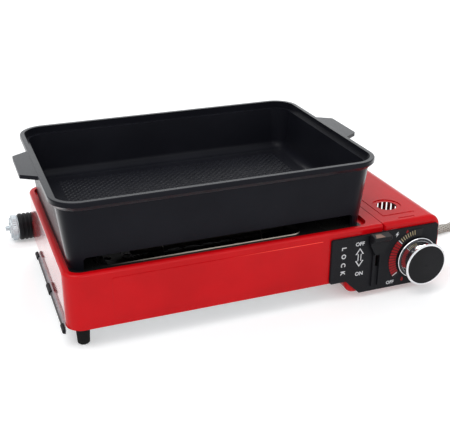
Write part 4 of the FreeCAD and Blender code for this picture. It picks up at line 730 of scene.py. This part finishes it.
# The lever's insert: a small bronze-coloured plate let into the sloping top of the lever, a little left of
# its middle. It moves with the lever.
LEVER_TOP_BACK, LEVER_TOP_FRONT = (-0.14005, 0.0930), (-0.15105, 0.0915)
INSERT_X = PANEL_X + 0.1490
INSERT_BACK, INSERT_FRONT = (0.0039, 0.25), (0.0066, 0.95)
INSERT_PROUD, INSERT_SUNK = 0.00015, 0.0004


def sloping_plate(middle, back, front, proud, sunk):
    """A four-sided plate on the lever's top. Each end is a half width and a share of the way from the
    lever's back to its front, and the plate reaches from sunk below that top to proud above it."""
    ends = []
    for half, share in (front, back):
        y, z = ((1 - share) * a + share * b for a, b in zip(LEVER_TOP_BACK, LEVER_TOP_FRONT))
        ends.append([(middle - half, y, z), (middle + half, y, z)])
    flat = np.array([ends[0][0], ends[0][1], ends[1][1], ends[1][0]])
    points = np.concatenate([flat + (0, 0, -sunk), flat + (0, 0, proud)])
    sides = [[0, 1, 5, 4], [1, 2, 6, 5], [2, 3, 7, 6], [3, 0, 4, 7]]
    return points, np.array([[3, 2, 1, 0], [4, 5, 6, 7]] + sides)


insert_points, insert_faces = sloping_plate(INSERT_X, INSERT_BACK, INSERT_FRONT, INSERT_PROUD, INSERT_SUNK)
lever_insert = add_piece("lever_insert", insert_points, insert_faces, smooth=False)
bronze_finish, tree, shader = finish("bronze_insert", Roughness=0.45, Specular_IOR_Level=0.3)
cloud = use(tree, unevenness, Broad_size=60.0, Fine_size=1500.0)
drive(tree, shader,
      Base_Color=tone(tree, cloud["Broad"], (0.23, 0.135, 0.098), (0.16, 0.092, 0.066)),
      Roughness=between(tree, cloud["Fine"], 0.38, 0.55),
      Normal=relief(tree, cloud["Fine"], 0.00002))
wear(bronze_finish, lever_insert)
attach(lever_insert, "lever")


# The dial scale: a thin plate round the knob, printed with a band of red blocks and with cream strokes
# above them. One long white stroke stands near each end of the red. Angles are in degrees, from +X.
BLOCK_FROM, BLOCK_TO, BLOCK_EVERY = 136.0, 212.5, 6.07
BLOCK_GAP = 0.27
STROKE_FROM, STROKE_EVERY, STROKES = 98.3, 5.2, 7
STROKE_INNER, STROKE_OUTER, STROKE_WIDE = 0.0338, 0.0402, 0.0010
LONG_ANGLES = [135.0, 213.5]
LONG_INNER, LONG_OUTER, LONG_WIDE = 0.0330, 0.0406, 0.0012
plate_low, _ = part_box("dial_scale")

scale_finish, tree, shader = finish("printed_scale", Roughness=0.45, Specular_IOR_Level=0.16)
place = node(tree, "SeparateXYZ", Vector=node(tree, "TexCoord").outputs["Object"]).outputs
right = sum_up(tree, "SUBTRACT", place[0], KNOB_X)
up = sum_up(tree, "SUBTRACT", place[2], KNOB_Z)
turn = sum_up(tree, "MULTIPLY", sum_up(tree, "ARCTAN2", up, right), 180 / math.pi)
turn = sum_up(tree, "MODULO", sum_up(tree, "ADD", turn, 360.0), 360.0)
number = sum_up(tree, "DIVIDE", sum_up(tree, "SUBTRACT", turn, BLOCK_FROM), BLOCK_EVERY)
step = sum_up(tree, "FRACT", number)
inside = sum_up(tree, "MULTIPLY", sum_up(tree, "GREATER_THAN", turn, BLOCK_FROM),
                sum_up(tree, "LESS_THAN", turn, BLOCK_TO))
block = sum_up(tree, "MULTIPLY", inside, sum_up(tree, "GREATER_THAN", step, BLOCK_GAP))
cloud = use(tree, unevenness, Broad_size=50.0, Fine_size=1500.0)
red = tone(tree, cloud["Broad"], (0.36, 0.010, 0.014), (0.29, 0.007, 0.010))
drive(tree, shader,
      Base_Color=tone(tree, block, (0.014, 0.013, 0.014), red),
      Roughness=between(tree, cloud["Fine"], 0.4, 0.55),
      Normal=relief(tree, cloud["Fine"], 0.00002))
wear(scale_finish, "dial_scale")


def strokes(angles, inner, outer, wide, face):
    """Thin upright blocks that point at the knob's axis, one at each angle. A corner stands at the axis
    plus its distance along the angle's direction and half the width across it."""
    angle = np.radians(np.array(angles))[:, None, None, None]
    along = np.array([inner, outer])[None, :, None, None]
    beside = np.array([-wide / 2, wide / 2])[None, None, :, None]
    out = np.array([0, INK_THICK * 2])[None, None, None, :]
    x = KNOB_X + along * np.cos(angle) - beside * np.sin(angle)
    z = KNOB_Z + along * np.sin(angle) + beside * np.cos(angle)
    x, y, z = np.broadcast_arrays(x, face - out, z)
    points = np.stack([x, y, z], -1).reshape(-1, 3)
    cube = np.array([[0, 1, 3, 2], [4, 6, 7, 5], [0, 4, 5, 1], [2, 3, 7, 6], [0, 2, 6, 4], [1, 5, 7, 3]])
    quads = (np.arange(len(angles))[:, None, None] * 8 + cube[None]).reshape(-1, 4)
    return points, [tuple(quad) for quad in quads.tolist()]


stroke_angles = [STROKE_FROM + STROKE_EVERY * number for number in range(STROKES)]
scale_strokes = join("scale_strokes", [
    strokes(stroke_angles, STROKE_INNER, STROKE_OUTER, STROKE_WIDE, plate_low[1])])
long_strokes = join("long_strokes", [
    strokes(LONG_ANGLES, LONG_INNER, LONG_OUTER, LONG_WIDE, plate_low[1])])
cream_finish, tree, shader = finish("cream_ink", Roughness=0.5, Specular_IOR_Level=0.2)
cloud = use(tree, unevenness, Broad_size=120.0, Fine_size=2500.0)
drive(tree, shader,
      Base_Color=tone(tree, cloud["Broad"], (0.50, 0.42, 0.26), (0.40, 0.32, 0.18)),
      Roughness=between(tree, cloud["Fine"], 0.42, 0.6))
wear(cream_finish, scale_strokes)
wear(ink_finish, long_strokes)
for piece in (scale_strokes, long_strokes):
    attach(piece, "stove")


# The knob: a moulding plated with bright chromium, held on the valve's spindle. Its back flange is chrome,
# darkened all but a narrow bright edge with painted shade and painted reflection of the knob's body.
FLANGE_BRIGHT, FLANGE_FRONT, FLANGE_EDGE = 0.0278, -0.1425, -0.1402
BRIGHT_SOFT, FLANGE_FRONT_SOFT, EDGE_SOFT = 0.0003, 0.0008, 0.0001
FLANGE_PAINTED_SHADE = (0.045, 0.045, 0.05)

chrome_finish, tree, shader = finish("bright_chrome", Metallic=1.0, Roughness=0.08)
place = node(tree, "SeparateXYZ", Vector=node(tree, "TexCoord").outputs["Object"]).outputs
out = [sum_up(tree, "MULTIPLY", off, off) for off in
       (sum_up(tree, "SUBTRACT", place[0], KNOB_X), sum_up(tree, "SUBTRACT", place[2], KNOB_Z))]
radius = sum_up(tree, "SQRT", sum_up(tree, "ADD", *out))
# This mask places the painted shade and painted reflection on the flange and the knob's back.
behind = sum_up(tree, "MAXIMUM", sharpen(tree, radius, FLANGE_BRIGHT, FLANGE_BRIGHT - BRIGHT_SOFT),
                sharpen(tree, place[1], FLANGE_EDGE - EDGE_SOFT, FLANGE_EDGE))
flange = sharpen(tree, place[1], FLANGE_FRONT - FLANGE_FRONT_SOFT, FLANGE_FRONT)
shade = sum_up(tree, "MULTIPLY", behind, flange)
cloud = use(tree, unevenness, Broad_size=30.0, Fine_size=600.0)
plain = tone(tree, cloud["Broad"], (0.80, 0.80, 0.82), (0.70, 0.70, 0.72))
drive(tree, shader,
      Base_Color=tone(tree, shade, plain, FLANGE_PAINTED_SHADE),
      Roughness=between(tree, cloud["Broad"], 0.05, 0.12),
      Normal=relief(tree, cloud["Fine"], 0.000004))
wear(chrome_finish, "gas_knob")


# The feet: moulded black rubber, matt and a little dusty. Two tall tapered ones stand under the burner
# end, and two low pads under the bay.
rubber_finish, tree, shader = finish("foot_rubber", Roughness=0.8, Specular_IOR_Level=0.1)
cloud = use(tree, unevenness, Broad_size=40.0, Fine_size=1100.0)
drive(tree, shader,
      Base_Color=tone(tree, cloud["Broad"], (0.010, 0.010, 0.010), (0.017, 0.017, 0.016)),
      Roughness=between(tree, cloud["Fine"], 0.7, 0.9),
      Normal=relief(tree, cloud["Fine"], 0.00006))
wear(rubber_finish, "front_left_foot", "back_left_foot", "front_right_foot", "back_right_foot")


# The pan: cast aluminium, sprayed inside and out with a dark satin non-stick coat, and loose on the seat.
# Its floor is cast with rows of small diamond studs. The coat shines where it is seen at a flat angle, and
# the shine is held back at the flattest ones to match the photograph, which a real coat doesn't do.
HATCH_MIDDLE, HATCH_HALF = (-0.042, 0.01675), (0.165, 0.100)
STUD_EVERY, STUD_HALF, STUD_TALL, STUD_SUNK = 0.0095, 0.0042, 0.0006, 0.0003
STUD_TOP = 0.5
PAN_FLOOR = 0.1178
SHINE_RISES, SHINE_FALLS = (0.3, 0.85), (0.76, 0.97)
SHINE_MOST, SHINE_LEFT = 0.9, 0.15


def diamond_studs(middle, half, level):
    """Low four-sided studs, turned by an eighth, in rows that are each shifted by half a step. A stud
    narrows from STUD_HALF at its sunk foot to STUD_TOP of that at its top."""
    columns, rows = (int(size * 2 / STUD_EVERY) for size in half)
    x, y = np.meshgrid(np.arange(columns * 2 + 1), np.arange(rows * 2 + 1))
    wanted = (x + y) % 2 == 0
    x = middle[0] + (x[wanted] - columns) * STUD_EVERY / 2
    y = middle[1] + (y[wanted] - rows) * STUD_EVERY / 2
    corner = np.array([[1, 0], [0, 1], [-1, 0], [0, -1]]) * STUD_HALF
    ring = np.concatenate([
        np.column_stack([corner, np.full(4, -STUD_SUNK)]),
        np.column_stack([corner * STUD_TOP, np.full(4, STUD_TALL)]),
    ])
    centre = np.stack([x, y, np.full_like(x, level)], -1)
    points = centre[:, None] + ring[None]
    sides = np.array([[0, 1, 5, 4], [1, 2, 6, 5], [2, 3, 7, 6], [3, 0, 4, 7], [4, 5, 6, 7], [3, 2, 1, 0]])
    return points, np.arange(len(x))[:, None, None] * 8 + sides[None]


pan_hatch = add_piece("pan_floor_studs", *diamond_studs(HATCH_MIDDLE, HATCH_HALF, PAN_FLOOR), smooth=False)
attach(pan_hatch, "pan")

pan_finish, tree, shader = finish("pan_coating", Roughness=0.36, Specular_IOR_Level=0.08, Coat_Roughness=0.16)
cloud = use(tree, unevenness, Broad_size=12.0, Fine_size=700.0)
facing = node(tree, "LayerWeight", Blend=0.5).outputs["Facing"]
flat_view = sum_up(tree, "MULTIPLY", sharpen(tree, facing, *SHINE_RISES),
                   between(tree, sharpen(tree, facing, *SHINE_FALLS), 1.0, SHINE_LEFT))
drive(tree, shader,
      Base_Color=tone(tree, cloud["Broad"], (0.0065, 0.0068, 0.0100), (0.0088, 0.0092, 0.0130)),
      Roughness=between(tree, cloud["Fine"], 0.30, 0.42),
      Coat_Weight=sum_up(tree, "MULTIPLY", flat_view, SHINE_MOST),
      Normal=relief(tree, cloud["Fine"], 0.00004))
wear(pan_finish, "roasting_pan", pan_hatch)
